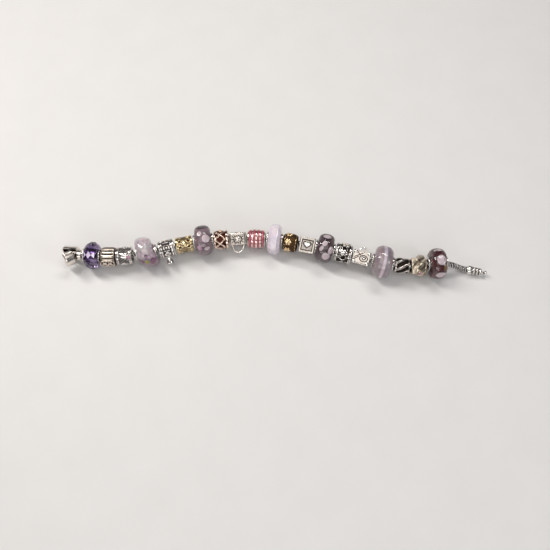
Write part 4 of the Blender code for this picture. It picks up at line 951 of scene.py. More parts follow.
class Route:
    """The chain's middle line, in millimetres: a place over the table and a height along it."""

    def __init__(self) -> None:
        """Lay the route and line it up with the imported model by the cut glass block."""
        chosen = np.array(CHAIN_ROUTE)
        padded = np.vstack([2 * chosen[0] - chosen[1], chosen, 2 * chosen[-1] - chosen[-2]])
        t = np.linspace(0.0, 1.0, ROUTE_STEPS, endpoint=False)[:, None]
        stretches = [0.5 * (2 * b + (c - a) * t + (2 * a - 5 * b + 4 * c - d) * t ** 2
                            + (3 * b - a - 3 * c + d) * t ** 3)
                     for a, b, c, d in zip(padded, padded[1:], padded[2:], padded[3:])]
        self.points = np.vstack(stretches + [chosen[-1:]])
        steps = np.linalg.norm(np.diff(self.points, axis=0), axis=1)
        self.lengths = np.concatenate([[0.0], np.cumsum(steps)])
        self.centres: dict[str, float] = {}
        reach = SOCKET_DEPTH
        knots: list[float] = []
        heights: list[float] = []
        for name, (length, gap, radius) in BEADS.items():
            reach += gap + length / 2.0
            self.centres[name] = reach
            if name in GLASS_NODES:
                share = math.cos(math.pi / BLOCK_SIDES) if name == "block_glass" else 1.0
                knots += [reach - length / 2.0, reach + length / 2.0]
                heights += [radius * share - SLACK] * 2
            reach += length / 2.0
        self.chain_end = reach + BARE_CHAIN_LENGTH
        knots += [reach + CHAIN_RADIUS, self.chain_end - HEIGHT_BLEND / 2.0 - CHAIN_RADIUS / 2.0]
        heights += [heights[-1], COLLAR_RADIUS]
        self.knots = np.array(knots)
        self.heights = np.array(heights)
        self.offset = np.zeros(3)
        low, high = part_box("block_glass")
        middle = (np.array(low) + np.array(high)) / 2.0 / MM
        self.offset = middle - self.frame("block_glass")[:3, 3] / MM

    def along(self, reach: Array) -> Array:
        """The middle line at lengths along the chain; heights are averaged to bend smoothly.

        Args:
            reach: the lengths, in millimetres from the clasp.

        Returns:
            The points, one row for each length.
        """
        reach = np.atleast_1d(np.asarray(reach, dtype=float))
        near = reach[:, None] + np.linspace(-0.5, 0.5, 9)[None] * HEIGHT_BLEND
        height = np.interp(near, self.knots, self.heights).mean(axis=1)
        x = np.interp(reach, self.lengths, self.points[:, 0])
        y = np.interp(reach, self.lengths, self.points[:, 1])
        return points(x, y, height) + self.offset

    def at(self, reach: float, lift: float = 0.0, roll: float = 0.0) -> Array:
        """A level frame on the chain, in metres: Z along it, X up and Y to the near side.

        Args:
            reach: the length along the chain.
            lift: how far it stands above the chain's middle.
            roll: how far it is turned round the chain.

        Returns:
            The frame.
        """
        ahead = (self.along(reach + 0.5) - self.along(reach - 0.5))[0]
        ahead[2] = 0.0
        ahead /= np.linalg.norm(ahead)
        up = np.array([0.0, 0.0, 1.0])
        frame = np.eye(4)
        frame[:3, :3] = np.stack([up, np.cross(ahead, up), ahead], axis=-1)
        frame[:3, 3] = (self.along(reach)[0] + up * lift) * MM
        return frame @ rotation(2, roll)

    def frame(self, name: str, roll: float = 0.0) -> Array:
        """A bead's frame: glass rests on the table, and a charm hangs on the chain."""
        lift = SLACK if name in GLASS_NODES else -SLACK
        return self.at(self.centres[name], lift, roll)


# Glass beads

@dataclass
class GlassBead:
    """A glass bead: a clear casing, a coloured body in it, inlays on the body and a silver lining."""

    node: str
    slot: Slot
    body: BodyFinish | GlassFinish
    casing: GlassFinish = CLEAR
    depth: float = 0.9
    roundness: float = 2.5
    inlays: list[tuple[BodyFinish, list[Mark]]] = field(default_factory=list)
    inlay_depth: float = 0.4
    tone: Callable[[Array, Array], Array] | None = None
    lean: float = 0.0
    dent: float = 0.0

    def __post_init__(self) -> None:
        """Look up the bead's sizes; the glass keeps a hair inside its solid."""
        self.length, _, self.radius = BEADS[self.node]
        self.radius -= GLASS_SKIN
        self.half = self.length / 2.0 - FLANGE_THICKNESS - GAP

    def radius_at(self, along: Array, inset: float = 0.0) -> Array:
        """The outside: lip + (radius - lip)(1 - |z / half|ⁿ)^(1/n), less the inset.

        Args:
            along: places along the chain from the bead's middle.
            inset: how far under the outside.

        Returns:
            The radius at each of them.
        """
        half = self.half - inset
        share = np.clip(np.abs(along) / half, 0.0, 1.0)
        lip = GLASS_LIP - inset * 0.5
        return lip + (self.radius - inset - lip) * (1.0 - share ** self.roundness) ** (1.0 / self.roundness)

    def barrel(self, inset: float, bore: float) -> Shell:
        """A closed barrel inside the bead's outline.

        Args:
            inset: how far it is drawn in from the outside.
            bore: its hole's radius.

        Returns:
            The barrel's shell; the body's relief is its tone, which paints light and shade on some beads and
            a stripe on one.
        """
        half = self.half - inset
        z = half * np.sin(np.linspace(-math.pi / 2.0, math.pi / 2.0, 41))
        outside = points(self.radius_at(z, inset), z)
        hole = [(bore + 0.1, half), (bore, half - 0.1), (bore, 0.1 - half), (bore + 0.1, -half)]
        shell = spun(np.vstack([outside, hole]), 96, closed=True)
        if self.tone and inset:
            shell.relief = self.tone(shell.places[:, 2], shell.places[:, 1])
        shell.places = self.pressed(shell.places)
        return shell

    def pressed(self, places: Array) -> Array:
        """The points leaned and dented: right grows by lean · down, and a dent draws in the right side.

        The dent is a bell curve a little above the middle; below the middle the same side swells.

        Args:
            places: points in the face frame.

        Returns:
            The moved points; the ones near the bore stay.
        """
        if not self.lean:
            return places
        moved = places.copy()
        right = places[:, 2]
        down = places[:, 1]
        clear = ease(2.6, 4.4, np.hypot(places[:, 0], down))
        side = ease(0.0, self.half, right)
        bell = np.exp(-(((down + 2.0) / 2.6) ** 2)) - 0.7 * np.exp(-(((down - 4.6) / 2.4) ** 2))
        moved[:, 2] = right + clear * (self.lean * down - self.dent * side * bell)
        return moved

    def inlay_shells(self) -> list[Shell]:
        """The inlays: flat dots or petals (right, down, width, height, turn) seated on the body.

        Returns:
            One shell for each mark, numbered by its finish.
        """
        shells = []
        for number, (_, marks) in enumerate(self.inlays):
            for right, down, width, height, turn in marks:
                reach = float(self.radius_at(np.array(right), self.inlay_depth))
                angle = math.asin(np.clip(down / reach, -0.98, 0.98))
                seat = Seat(lambda z: self.radius_at(z, self.inlay_depth), angle, right)
                outline = oval_points(width, height, math.radians(turn))
                shell = pillow(outline, 0.14, seat, sink=0.2, slot=number + 1)
                shell.relief = np.ones(len(shell.places))
                shell.places = self.pressed(shell.places)
                shells.append(shell)
        return shells

    def lining(self) -> list[Shell]:
        """The silver tube in the bore, with a rolled flange at each end.

        Returns:
            The tube's shell.
        """
        end = self.length / 2.0
        wall = BORE_RADIUS + CORE_WALL
        inner = end - FLANGE_THICKNESS
        outline = filleted([(BORE_RADIUS, 0.0), (BORE_RADIUS, end), (FLANGE_RADIUS - 0.1, end),
                            (FLANGE_RADIUS, end - 0.25), (FLANGE_RADIUS - 0.1, inner), (wall, inner),
                            (wall, 0.0)], 0.2)
        mirrored = outline[::-1] * np.array([1.0, -1.0])
        return [spun(np.vstack([outline, mirrored[1:-1]]), 48, closed=True)]

    def build_lining(self, route: Route, roll: float = FACE_ROLL) -> None:
        """Make the lining's piece."""
        make_piece(f"{self.node}_lining", self.lining(), route.frame(self.node, roll), [SILVER],
                   (f"{self.node}_core",))

    def build(self, route: Route) -> None:
        """Make the casing, the body with its inlays, and the lining.

        Args:
            route: the chain's route, which places the bead.
        """
        frame = route.frame(self.node, FACE_ROLL)
        make_piece(f"{self.node}_casing", [self.barrel(0.0, GLASS_BORE)], frame, [self.casing],
                   (self.node,))
        inside = [self.barrel(self.depth, GLASS_BORE + 0.25)] + self.inlay_shells()
        make_piece(f"{self.node}_body", inside, frame, [self.body] + [f for f, _ in self.inlays])
        self.build_lining(route)


@dataclass
class FacetedBead(GlassBead):
    """The cut purple bead: rings of corners joined by flat facets, round a silver lining.

    A row of the cut is a share of the half length, a share of the radius and a turn, in sides.
    """

    sides: int = 12
    cut: tuple[Point, ...] = (
        (1.0, 0.66, 0.0), (0.76, 0.83, 0.5), (0.36, 0.965, 0.0), (0.0, 1.0, 0.5), (-0.36, 0.965, 0.0),
        (-0.76, 0.83, 0.5), (-1.0, 0.66, 0.0))

    def faceted(self) -> Shell:
        """The cut body: two triangles between each pair of neighbours in two rings, and the bore.

        Returns:
            The body's shell.
        """
        count = self.sides
        steps = np.arange(count)
        after = (steps + 1) % count
        rings = [polar(share * self.radius, (steps + turn) * TURN / count, along * self.half)
                 for along, share, turn in self.cut]
        rings += [polar(GLASS_BORE, steps * TURN / count, end) for end in (-self.half, self.half)]
        tris = []
        for row, (near, far) in enumerate(zip(self.cut, self.cut[1:])):
            a = row * count
            b = a + count
            if near[2] < far[2]:
                tris += [points(a + steps, b + steps, a + after), points(a + after, b + steps, b + after)]
            else:
                tris += [points(a + steps, b + steps, b + after), points(a + steps, b + after, a + after)]
        last = len(self.cut)
        joins = ((last - 1, last), (last, last + 1), (last + 1, 0))
        quads = np.vstack([points(a * count + steps, b * count + steps, b * count + after, a * count + after)
                           for a, b in joins])
        places = np.vstack(rings)
        return Shell(places, quads, np.vstack(tris), np.ones(len(places))).outward()

    def build(self, route: Route) -> None:
        """Make the cut bead and its lining."""
        frame = route.frame(self.node, FACE_ROLL)
        piece = make_piece(f"{self.node}_cut", [self.faceted()], frame, [self.body, PAINTED_GLINT],
                           (self.node,), crease=1.0)
        self.paint_glints(piece.data, frame)
        self.build_lining(route)

    def paint_glints(self, mesh: bpy.types.Mesh, frame: Array) -> None:
        """Paint a highlight on the facets that stand over every third corner: pale lilac for the lights'
        glint.

        A facet's middle is taken back to the bead's frame; it gets the painted highlight where its angle
        lies near a quarter turn and it isn't at the bead's ends.

        Args:
            mesh: the cut bead's mesh.
            frame: where the bead stands.
        """
        middles = np.empty(len(mesh.polygons) * 3)
        mesh.polygons.foreach_get("center", middles)
        inside = (middles.reshape(-1, 3) - frame[:3, 3]) @ frame[:3, :3] / MM
        angle = np.arctan2(inside[:, 1], inside[:, 0])
        near = np.abs(wrapped(angle, TURN / 4.0)) < math.radians(6.0)
        inner = np.abs(inside[:, 2]) < 0.72 * self.half
        bright = near & inner & (np.hypot(inside[:, 0], inside[:, 1]) > 4.0)
        mesh.polygons.foreach_set("material_index", bright.astype(np.int32))


@dataclass
class BlockBead(GlassBead):
    """The pale block: eight flat sides with a bevel round each end, one side on the table."""

    bevel: float = 1.5
    end_share: float = 0.8

    def build(self, route: Route) -> None:
        """Make the block and its lining."""
        frame = route.frame(self.node) @ rotation(2, math.pi / BLOCK_SIDES)
        shoulder = self.half - self.bevel
        end = self.end_share * self.radius
        bore = GLASS_BORE / math.cos(math.pi / BLOCK_SIDES)
        profile = filleted([(bore, self.half), (end, self.half), (self.radius, shoulder),
                            (self.radius, -shoulder), (end, -self.half), (bore, -self.half)], 0.35, 5)
        shell = spun(profile, BLOCK_SIDES, closed=True)
        make_piece(f"{self.node}_cut", [shell], frame, [self.body], (self.node,), crease=25.0)
        self.build_lining(route, 0.0)


# Metal charms

@dataclass
class Charm:
    """A cast charm on the chain."""

    node: str
    finish: MetalFinish = SILVER
    slot: Slot = Slot.SILVER
    crease: float = 60.0
    raised: MetalFinish = SILVER

    def __post_init__(self) -> None:
        """Look up the charm's sizes."""
        self.length, _, self.radius = BEADS[self.node]

    def skin(self, a: Array, z: Array) -> tuple[Array, Array]:
        """The drum's outside, as a formula.

        Args:
            a: angles round the chain, 0 where the face looks out.
            z: places along the chain from the charm's middle.

        Returns:
            The radius and the relief, 0 in a recess and 1 on a crown, at each of them.
        """
        raise NotImplementedError

    def shells(self) -> list[Shell]:
        """The charm's closed surfaces, in its face frame."""
        raise NotImplementedError

    def build(self, route: Route) -> None:
        """Make the charm's piece where the route puts it."""
        make_piece(f"{self.node}_cast", self.shells(), route.frame(self.node, FACE_ROLL),
                   [self.finish, self.raised], (self.node,), crease=self.crease)


def rims(z: Array, end: float, width: float) -> Array:
    """1 on the raised rims at both ends and 0 between them."""
    return ease(end - width - 0.12, end - width, np.abs(z))


@dataclass
class RimmedCharm(Charm):
    """A drum with a raised rim round each end."""

    rim_width: float = 1.1
    rim_height: float = 0.45

    def __post_init__(self) -> None:
        """Look up the charm's sizes; its floor is the drum between the rims."""
        super().__post_init__()
        self.floor = self.radius - self.rim_height

    def on_drum(self, a: Array, repeats: int, start: float = 0.0) -> Array:
        """How far down the floor a point lies from the middle of its repeat, the first at the start."""
        return wrapped((a - start) * self.floor, TURN * self.floor / repeats)


@dataclass
class FlutedCharm(Charm):
    """Ribs along the chain, drawn in at both ends, and three small tears low on the face."""

    flutes: int = 14
    depth: float = 0.5
    tear_angle: float = math.radians(41.0)
    tear_pitch: float = 2.4

    def skin(self, a: Array, z: Array) -> tuple[Array, Array]:
        """The barrel's radius less the depth times 1 - |cos(flutes · a / 2)|^0.6, fading to the ends."""
        end = self.length / 2.0
        barrel = self.radius - 0.46 * ease(0.55 * end, end, np.abs(z))
        wave = np.abs(np.cos(self.flutes * a / 2.0)) ** 0.6
        fade = 1.0 - ease(end - 0.8, end - 0.3, np.abs(z))
        return barrel - self.depth * (1.0 - wave) * fade, 0.15 + 0.85 * wave * fade + 0.5 * (1.0 - fade)

    def shells(self) -> list[Shell]:
        """The ribbed barrel and its tears."""
        made = [drum(self.length, self.skin)]
        for column in (-1, 0, 1):
            seat = Seat(steady(self.radius - 0.15), self.tear_angle, column * self.tear_pitch)
            outline = oval_points(1.25, 2.2, math.radians(-20.0 * column))
            loop = seat.place(at_height(outline, 0.26))
            made += [engraved(pillow(outline, 0.22, seat)),
                     wire(loop, 0.27, closed=True, reference=(0.73, 0.68, 0.1))]
        return made


@dataclass
class LeafCharm(RimmedCharm):
    """A rimmed drum with veined leaves round it and a small stone in a bezel at the right."""

    leaves: int = 4
    leaf_length: float = 4.6
    leaf_width: float = 3.0
    leaf_turn: float = math.radians(28.0)
    stone_angle: float = math.radians(14.0)

    def skin(self, a: Array, z: Array) -> tuple[Array, Array]:
        """Rims with a groove in each, and slanting lines across the floor between the leaves."""
        end = self.length / 2.0
        rim = rims(z, end, self.rim_width)
        groove = plateau(np.abs(z) - (end - 0.55), 0.16, 0.12)
        lines = 0.5 + 0.5 * np.cos(TURN * (z * 0.7 + a * self.floor) / 1.15)
        r = self.floor + self.rim_height * rim - 0.22 * groove * rim + 0.14 * lines * (1.0 - rim)
        return r, rim * (1.0 - 0.8 * groove) + (1.0 - rim) * 0.55 * lines

    def shells(self) -> list[Shell]:
        """The drum, its leaves with raised veins, and the bezel."""
        made = [drum(self.length, self.skin)]
        leaf = leaf_points(self.leaf_length, self.leaf_width, self.leaf_turn)
        t = np.linspace(-0.42, 0.42, 12) * self.leaf_length
        vein = polar(t, self.leaf_turn, 0.5 - 0.07 * t ** 2)
        for number in range(self.leaves):
            seat = Seat(steady(self.floor), number * TURN / self.leaves)
            made += [pillow(leaf, 0.55, seat, crown=0.8), wire(seat.place(vein), 0.13, 8)]
        return made + bezel(self.stone_seat())

    def stone_seat(self) -> Array:
        """The frame of the stone and its bezel, near the right rim."""
        return on_surface(self.radius - 0.25, self.stone_angle, self.length / 2.0 - 1.17)

    def build(self, route: Route) -> None:
        """Make the charm and its stone."""
        super().build(route)
        build_stone(self.node, route, self.stone_seat())


def on_surface(radius: float, angle: float, along: float) -> Array:
    """A frame on a round surface, in millimetres: its Z points out and its X runs along the chain.

    Args:
        radius: how far from the chain's middle it stands.
        angle: its angle round the chain.
        along: its place along the chain.

    Returns:
        The frame.
    """
    frame = np.eye(4)
    out = np.array([math.cos(angle), math.sin(angle), 0.0])
    frame[:3, 2] = out
    frame[:3, 0] = (0.0, 0.0, 1.0)
    frame[:3, 1] = np.cross(out, frame[:3, 0])
    frame[:3, 3] = out * radius + np.array([0.0, 0.0, along])
    return frame


def bezel(seat: Array) -> list[Shell]:
    """A small cup round a stone, with a beaded edge.

    Args:
        seat: the stone's frame.

    Returns:
        The cup and its beads.
    """
    hole = STONE_RADIUS + STONE_GAP
    cup = hole + BEZEL_WALL
    wall = lathed([(hole, -0.3), (hole, BEZEL_HEIGHT), (cup, BEZEL_HEIGHT), (cup, -0.3)], 0.12, 32, False)
    middles = polar(hole + BEZEL_WALL / 2.0, circle(BEZEL_BEADS), BEZEL_HEIGHT)
    return [shell.moved(seat) for shell in [wall] + [ball(0.17, middle) for middle in middles]]


def build_stone(node: str, route: Route, seat: Array) -> None:
    """A cut stone in its bezel: a pointed pavilion, a girdle, a crown and a flat table.

    Each level is a share of the stone's radius, a height and a turn, in sides.

    Args:
        node: the charm's name.
        route: the chain's route, which places the charm.
        seat: the stone's frame on the charm.
    """
    steps = np.arange(16)
    levels = ((0.5, 0.0, 0.0), (1.0, 0.5, 0.5), (1.0, 0.58, 0.5), (0.62, 1.0, 0.0))
    rows = [polar(share * STONE_RADIUS, (steps + turn) * TURN / len(steps), STONE_GAP + 0.9 * height)
            for share, height, turn in levels]
    make_piece(f"{node}_gem", [loft(np.stack(rows)).moved(seat)], route.frame(node, FACE_ROLL), [STONE],
               (f"{node}_stone",), crease=1.0)


@dataclass
class TurretCharm(RimmedCharm):
    """Double rims and square frames round a drum, with a bell that hangs from its near side."""

    rim_width: float = 1.4
    rim_beads: int = 20
    frames: int = 6
    frame_size: float = 3.0
    loop_radius: float = 0.65
    loop_wire: float = 0.22
    link_radius: float = 0.85
    link_wire: float = 0.2
    link_gap: float = 0.12
    loop_angle: float = math.radians(50.0)
    bell_lean: float = math.radians(40.0)
    bell_radius: float = 1.75
    bell_length: float = 2.6

    def skin(self, a: Array, z: Array) -> tuple[Array, Array]:
        """Two ridges in each rim; in the middle band a square frame with a pit at each sixth of a turn."""
        end = self.length / 2.0
        rim = rims(z, end, self.rim_width)
        groove = plateau(np.abs(z) - (end - 0.72), 0.2, 0.14)
        down = self.on_drum(a, self.frames)
        box = np.maximum(np.abs(down), np.abs(z))
        bar = plateau(box - self.frame_size / 2.0 + 0.35, 0.36, 0.16)
        knob = dome(np.hypot(down, z), 0.6)
        between = 0.5 * bar + 0.35 * knob
        r = self.floor + rim * (self.rim_height - 0.3 * groove) + (1.0 - rim) * between
        return r, rim * (1.0 - groove) + (1.0 - rim) * np.maximum(bar, 0.8 * knob)

    def shells(self) -> list[Shell]:
        """The drum with beads along its rims."""
        made = [drum(self.length, self.skin)]
        for side in (-1, 1):
            for angle in circle(self.rim_beads):
                place = on_surface(self.radius - 0.42, angle, side * (self.length / 2.0 - 1.62))
                made.append(ball(0.3).moved(place))
        return made

    def build(self, route: Route) -> None:
        """Make the drum with its loop, the jump ring and the bell."""
        centre = self.floor + self.loop_radius
        station = route.frame(self.node)
        lean = rotation(2, self.loop_angle) @ shift(centre)
        loop = hoop(self.loop_radius, self.loop_wire).moved(rotation(2, -FACE_ROLL) @ lean)
        make_piece(f"{self.node}_cast", self.shells() + [loop], station @ rotation(2, FACE_ROLL),
                   [self.finish], (self.node,), crease=self.crease)
        hang = lean @ rotation(2, math.pi - self.bell_lean - self.loop_angle) @ shift(self.loop_radius)
        reach = self.link_radius - self.link_wire - self.loop_wire - self.link_gap
        ring = hoop(self.link_radius, self.link_wire).moved(hang @ shift(reach) @ rotation(0, math.pi / 2.0))
        make_piece("jump_ring", [ring], station, [SILVER], ("drop_ring",))
        at = 2.0 * reach + self.loop_radius
        top = hoop(self.loop_radius, self.loop_wire).moved(hang @ shift(at))
        down = hang @ shift(at + self.loop_radius) @ rotation(1, math.pi / 2.0)
        bell = [shell.moved(down) for shell in self.bell()]
        make_piece("bell", [top] + bell, station, [SILVER], ("bell_drop",))

    def bell(self) -> list[Shell]:
        """The bell, hanging along +Z from its crown: a flared hollow cup, a lip and a ball in its mouth.

        The cup's line is given in shares of the bell's radius and length, down outside and up inside.

        Returns:
            The cup, its lip, the ball and the neck that holds it.
        """
        size = self.bell_radius
        length = self.bell_length
        shares = ((0.0, 0.0), (0.45, 0.12), (0.75, 0.5), (0.92, 0.88), (1.0, 1.0),
                  (0.82, 1.0), (0.6, 0.55), (0.3, 0.25), (0.0, 0.22))
        cup = spun(filleted([(r * size, z * length) for r, z in shares], 0.4, 5)[1:-1], 40)
        rim = hoop(0.93 * size, 0.13).moved(shift(z=0.93 * length))
        return [cup, rim, ball(0.55, (0.0, 0.0, length + 0.65)), ball(0.3, (0.0, 0.0, length + 0.1))]


@dataclass
class StarCharm(RimmedCharm):
    """A gold drum pierced by rows of holes between rims, with a raised star on its face."""

    rim_width: float = 1.0
    holes: int = 8
    hole: float = 0.62
    star: float = 2.3

    def skin(self, a: Array, z: Array) -> tuple[Array, Array]:
        """Rims, two rows of deep round pits with raised lips, and small grains between them."""
        end = self.length / 2.0
        rim = rims(z, end, self.rim_width)
        row = end - self.rim_width - 0.8
        away = np.hypot(self.on_drum(a, self.holes, math.pi / self.holes), np.abs(z) - row)
        pit = plateau(away, self.hole, 0.12)
        lip = plateau(away - self.hole - 0.14, 0.2, 0.16)
        grain = 0.5 + 0.5 * np.cos(a * 40.0) * np.cos(TURN * z / 0.62)
        groove = plateau(np.abs(z) - (end - 0.5), 0.14, 0.1)
        between = 0.16 * lip + 0.1 * grain - 0.95 * pit
        r = self.floor + rim * (self.rim_height - 0.2 * groove) + (1.0 - rim) * between
        return r, (1.0 - pit) * np.maximum(np.maximum(rim * (1.0 - 0.7 * groove), lip), 0.75 * grain)

    def shells(self) -> list[Shell]:
        """The pierced drum with a star on its face and one at its back."""
        made = [drum(self.length, self.skin)]
        for angle in (0.0, math.pi):
            seat = Seat(steady(self.floor), angle)
            made.append(pillow(star_points(self.star), 0.6, seat, crown=1.0))
        return made


@dataclass
class LatticeCharm(Charm):
    """Rose gold bands that cross in lozenges, with beads at the crossings and a ring at the right."""

    windows: int = 6
    ring_width: float = 1.0
    ring_gap: float = 0.35

    def skin(self, a: Array, z: Array) -> tuple[Array, Array]:
        """Two families of slanting bands, deep lozenges between them, and a ring past a groove."""
        end = self.length / 2.0
        waist = self.radius - 0.45
        pitch = TURN / self.windows
        middle = -self.ring_width / 2.0
        half = end - self.ring_width / 2.0 - self.ring_gap
        slope = (z - middle) / half / 2.0
        first = np.abs(wrapped(a / pitch + slope, 1.0))
        second = np.abs(wrapped(a / pitch - slope, 1.0))
        band = np.maximum(plateau(0.5 - first, 0.16, 0.08), plateau(0.5 - second, 0.16, 0.08))
        ridge = np.maximum(dome(0.5 - first, 0.16), dome(0.5 - second, 0.16))
        ring = ease(end - self.ring_width - 0.08, end - self.ring_width + 0.08, z)
        groove = plateau(z - (end - self.ring_width - self.ring_gap / 2.0), 0.3, 0.15)
        rim = ease(end - 0.75, end - 0.6, -z)
        body = waist - 0.95 * (1.0 - np.maximum(band, rim)) + 0.2 * np.maximum(ridge, rim)
        r = np.where(ring > 0.5, self.radius, body - 0.4 * groove)
        return r, np.where(ring > 0.5, 1.0, np.maximum(0.9 * ridge, 0.85 * rim) * (1.0 - groove))

    def shells(self) -> list[Shell]:
        """The lattice with a bead on each crossing."""
        made = [drum(self.length, self.skin)]
        middle = -self.ring_width / 2.0
        for number in range(self.windows):
            place = on_surface(self.radius - 0.38, (number + 0.5) * TURN / self.windows, middle)
            made.append(ball(0.52, squash=(1.0, 1.0, 0.9)).moved(place))
            side = on_surface(self.radius - 0.55, number * TURN / self.windows, middle - 1.9)
            made.append(ball(0.36).moved(side))
        return made


def box_skin(half_depth: float, half_height: float, corner: float) -> Callable[[Array], Array]:
    """The reach of a rounded rectangle at each angle: the n-th root of 1 / (|cos/x|ⁿ + |sin/y|ⁿ).

    Args:
        half_depth: x, half its size towards the face.
        half_height: y, half its size down the face.
        corner: how round it is; the power n is 2 + 6 / corner.

    Returns:
        A function of the angle.
    """
    power = 2.0 + 6.0 / corner

    def reach(a: Array) -> Array:
        """The rectangle's radius at the angles."""
        x = np.abs(np.cos(a) / half_depth) ** power
        y = np.abs(np.sin(a) / half_height) ** power
        return (x + y) ** (-1.0 / power)

    return reach


def arch(width: float, reach: float, root: float, down: bool) -> Array:
    """A handle's middle line: half an ellipse in the plane of the face, its feet at the root.

    Args:
        width: how far apart its feet stand.
        reach: how far it stands out from the root.
        root: where its feet are, from the chain's middle.
        down: whether it hangs below the face or stands above it.

    Returns:
        The line's points.
    """
    t = np.linspace(0.0, math.pi, 28)
    y = root + reach * np.sin(t)
    return points(0.0, y if down else -y, -width / 2.0 * np.cos(t))


@dataclass
class HandbagCharm(Charm):
    """A handbag: rolled flap along its top, a dotted dome on its face and a handle below."""

    depth: float = 5.7
    dome_down: float = 0.35
    rays: int = 12
    dots: int = 14
    handle_width: float = 5.2
    handle_reach: float = 3.4
    handle_wire: float = 0.42

    def skin(self, a: Array, z: Array) -> tuple[Array, Array]:
        """A rounded box, drawn in a little towards both ends of its upper side, with a sunk face."""
        reach = box_skin(self.depth / 2.0, self.radius, 0.5)(a)
        front = plateau(wrapped(a, math.pi), 0.80, 0.06)
        inside = front * plateau(z, self.length / 2.0 - 0.45, 0.2)
        down = reach * np.sin(a) - self.dome_down
        away = np.hypot(down, z)
        ring = plateau(away - 1.85, 0.34, 0.2)
        rays = plateau(np.abs(wrapped(np.arctan2(down, z), TURN / self.rays)) * away, 0.24, 0.16)
        rays = rays * plateau(away - 2.6, 0.55, 0.2)
        edge = plateau(np.abs(z) - (self.length / 2.0 - 0.62), 0.18, 0.12)
        line = np.clip(inside * (ring + rays + edge), 0.0, 1.0)
        return reach - 0.22 * inside - 0.12 * line, 1.0 - 0.3 * inside - 0.7 * line

    def shells(self) -> list[Shell]:
        """The bag, its flap and its handle, and what is on its face, on its back too."""
        end = self.length / 2.0
        made = [drum(self.length, self.skin, edge=0.45)]
        roll = points(self.depth / 2.0 - 0.45, 0.7 - self.radius, np.linspace(0.35 - end, end - 0.35, 24))
        swell = 0.82 * np.sqrt(np.sin(np.linspace(0.12, math.pi - 0.12, 24)))
        made.append(wire(roll, swell, 14, slot=1))
        for shell in self.face_pieces(self.depth / 2.0 - 0.22):
            made += [shell, shell.moved(rotation(1, math.pi))]
        made.append(wire(arch(self.handle_width, self.handle_reach + 0.5, self.radius - 0.5, True),
                         self.handle_wire, 14, slot=1))
        return made

    def face_pieces(self, face: float) -> list[Shell]:
        """The dome, the rays and dots round it and a row of dots at each side.

        Args:
            face: the face's distance from the chain's middle.

        Returns:
            The raised shapes.
        """
        down = self.dome_down
        made = [pillow(oval_points(2.3, 2.3), 0.62, FlatSeat(face, down), crown=0.9, slot=1)]
        for turn in circle(self.rays):
            spot = FlatSeat(face, down + 1.42 * math.sin(turn), 1.42 * math.cos(turn))
            made.append(pillow(oval_points(0.62, 0.3, turn), 0.36, spot, slot=1))
        for turn in circle(self.dots) + math.pi / self.dots:
            spot = FlatSeat(face, down + 1.84 * math.sin(turn), 2.15 * math.cos(turn))
            made.append(pillow(oval_points(0.42, 0.42), 0.3, spot, slot=1))
        for side in (-1, 1):
            for row in range(4):
                spot = FlatSeat(face, -0.9 + 0.95 * row, side * 3.0)
                made.append(pillow(oval_points(0.5, 0.5), 0.34, spot))
        return made


@dataclass
class StripedCharm(Charm):
    """A silver barrel of rounded ridges with a band of enamel in each groove between them."""

    bands: int = 4
    width: float = 1.1
    pitch: float = 1.9
    groove: float = 0.5
    gap: float = 0.06
    end_radius: float = 3.55

    def outside(self, z: Array | float) -> Array | float:
        """The barrel's radius: radius - (radius - end radius) times |z / half length| to the power of 2.6."""
        return self.radius - (self.radius - self.end_radius) * np.abs(2.0 * z / self.length) ** 2.6

    def places(self) -> list[float]:
        """The bands' middles along the chain, from the tip's side."""
        return [((self.bands - 1) / 2.0 - number) * self.pitch for number in range(self.bands)]

    def skin(self, a: Array, z: Array) -> tuple[Array, Array]:
        """Ridges that follow a dome between the grooves, lower at both ends, and thin engraved leaves."""
        away = np.min([np.abs(z - spot) for spot in self.places()], axis=0)
        cut = 1.0 - ease(self.width / 2.0 + 0.02, self.width / 2.0 + self.gap, away)
        outside = self.outside(z)
        crown = dome(np.clip(self.pitch / 2.0 - away, 0.0, None), self.pitch / 2.0)
        leaf = 0.5 + 0.5 * np.cos(14.0 * a + 2.0 * z)
        r = outside - self.groove * cut - 0.16 * (1.0 - crown) * (1.0 - cut)
        return r + 0.0 * a, (1.0 - cut) * (0.84 + 0.16 * leaf)

    def build(self, route: Route) -> None:
        """Make the barrel and its enamel bands."""
        frame = route.frame(self.node, FACE_ROLL)
        barrel = drum(self.length, self.skin, edge=0.35, around=128, along=110)
        make_piece(f"{self.node}_cast", [barrel], frame, [self.finish], (self.node,))
        t = np.linspace(0.0, math.pi, 13)
        for number, middle in enumerate(self.places()):
            top = float(self.outside(middle)) + 0.02
            floor = top - self.groove + self.gap
            crown = points(floor + (top - floor) * np.sin(t) ** 0.7, middle + self.width / 2.0 * np.cos(t))
            shell = spun(np.vstack([crown, [(floor - 0.02, middle)]]), 96, closed=True)
            node = f"enamel_band_{self.bands - number}"
            make_piece(f"{node}_fired", [shell], frame, [ENAMEL], (node,))


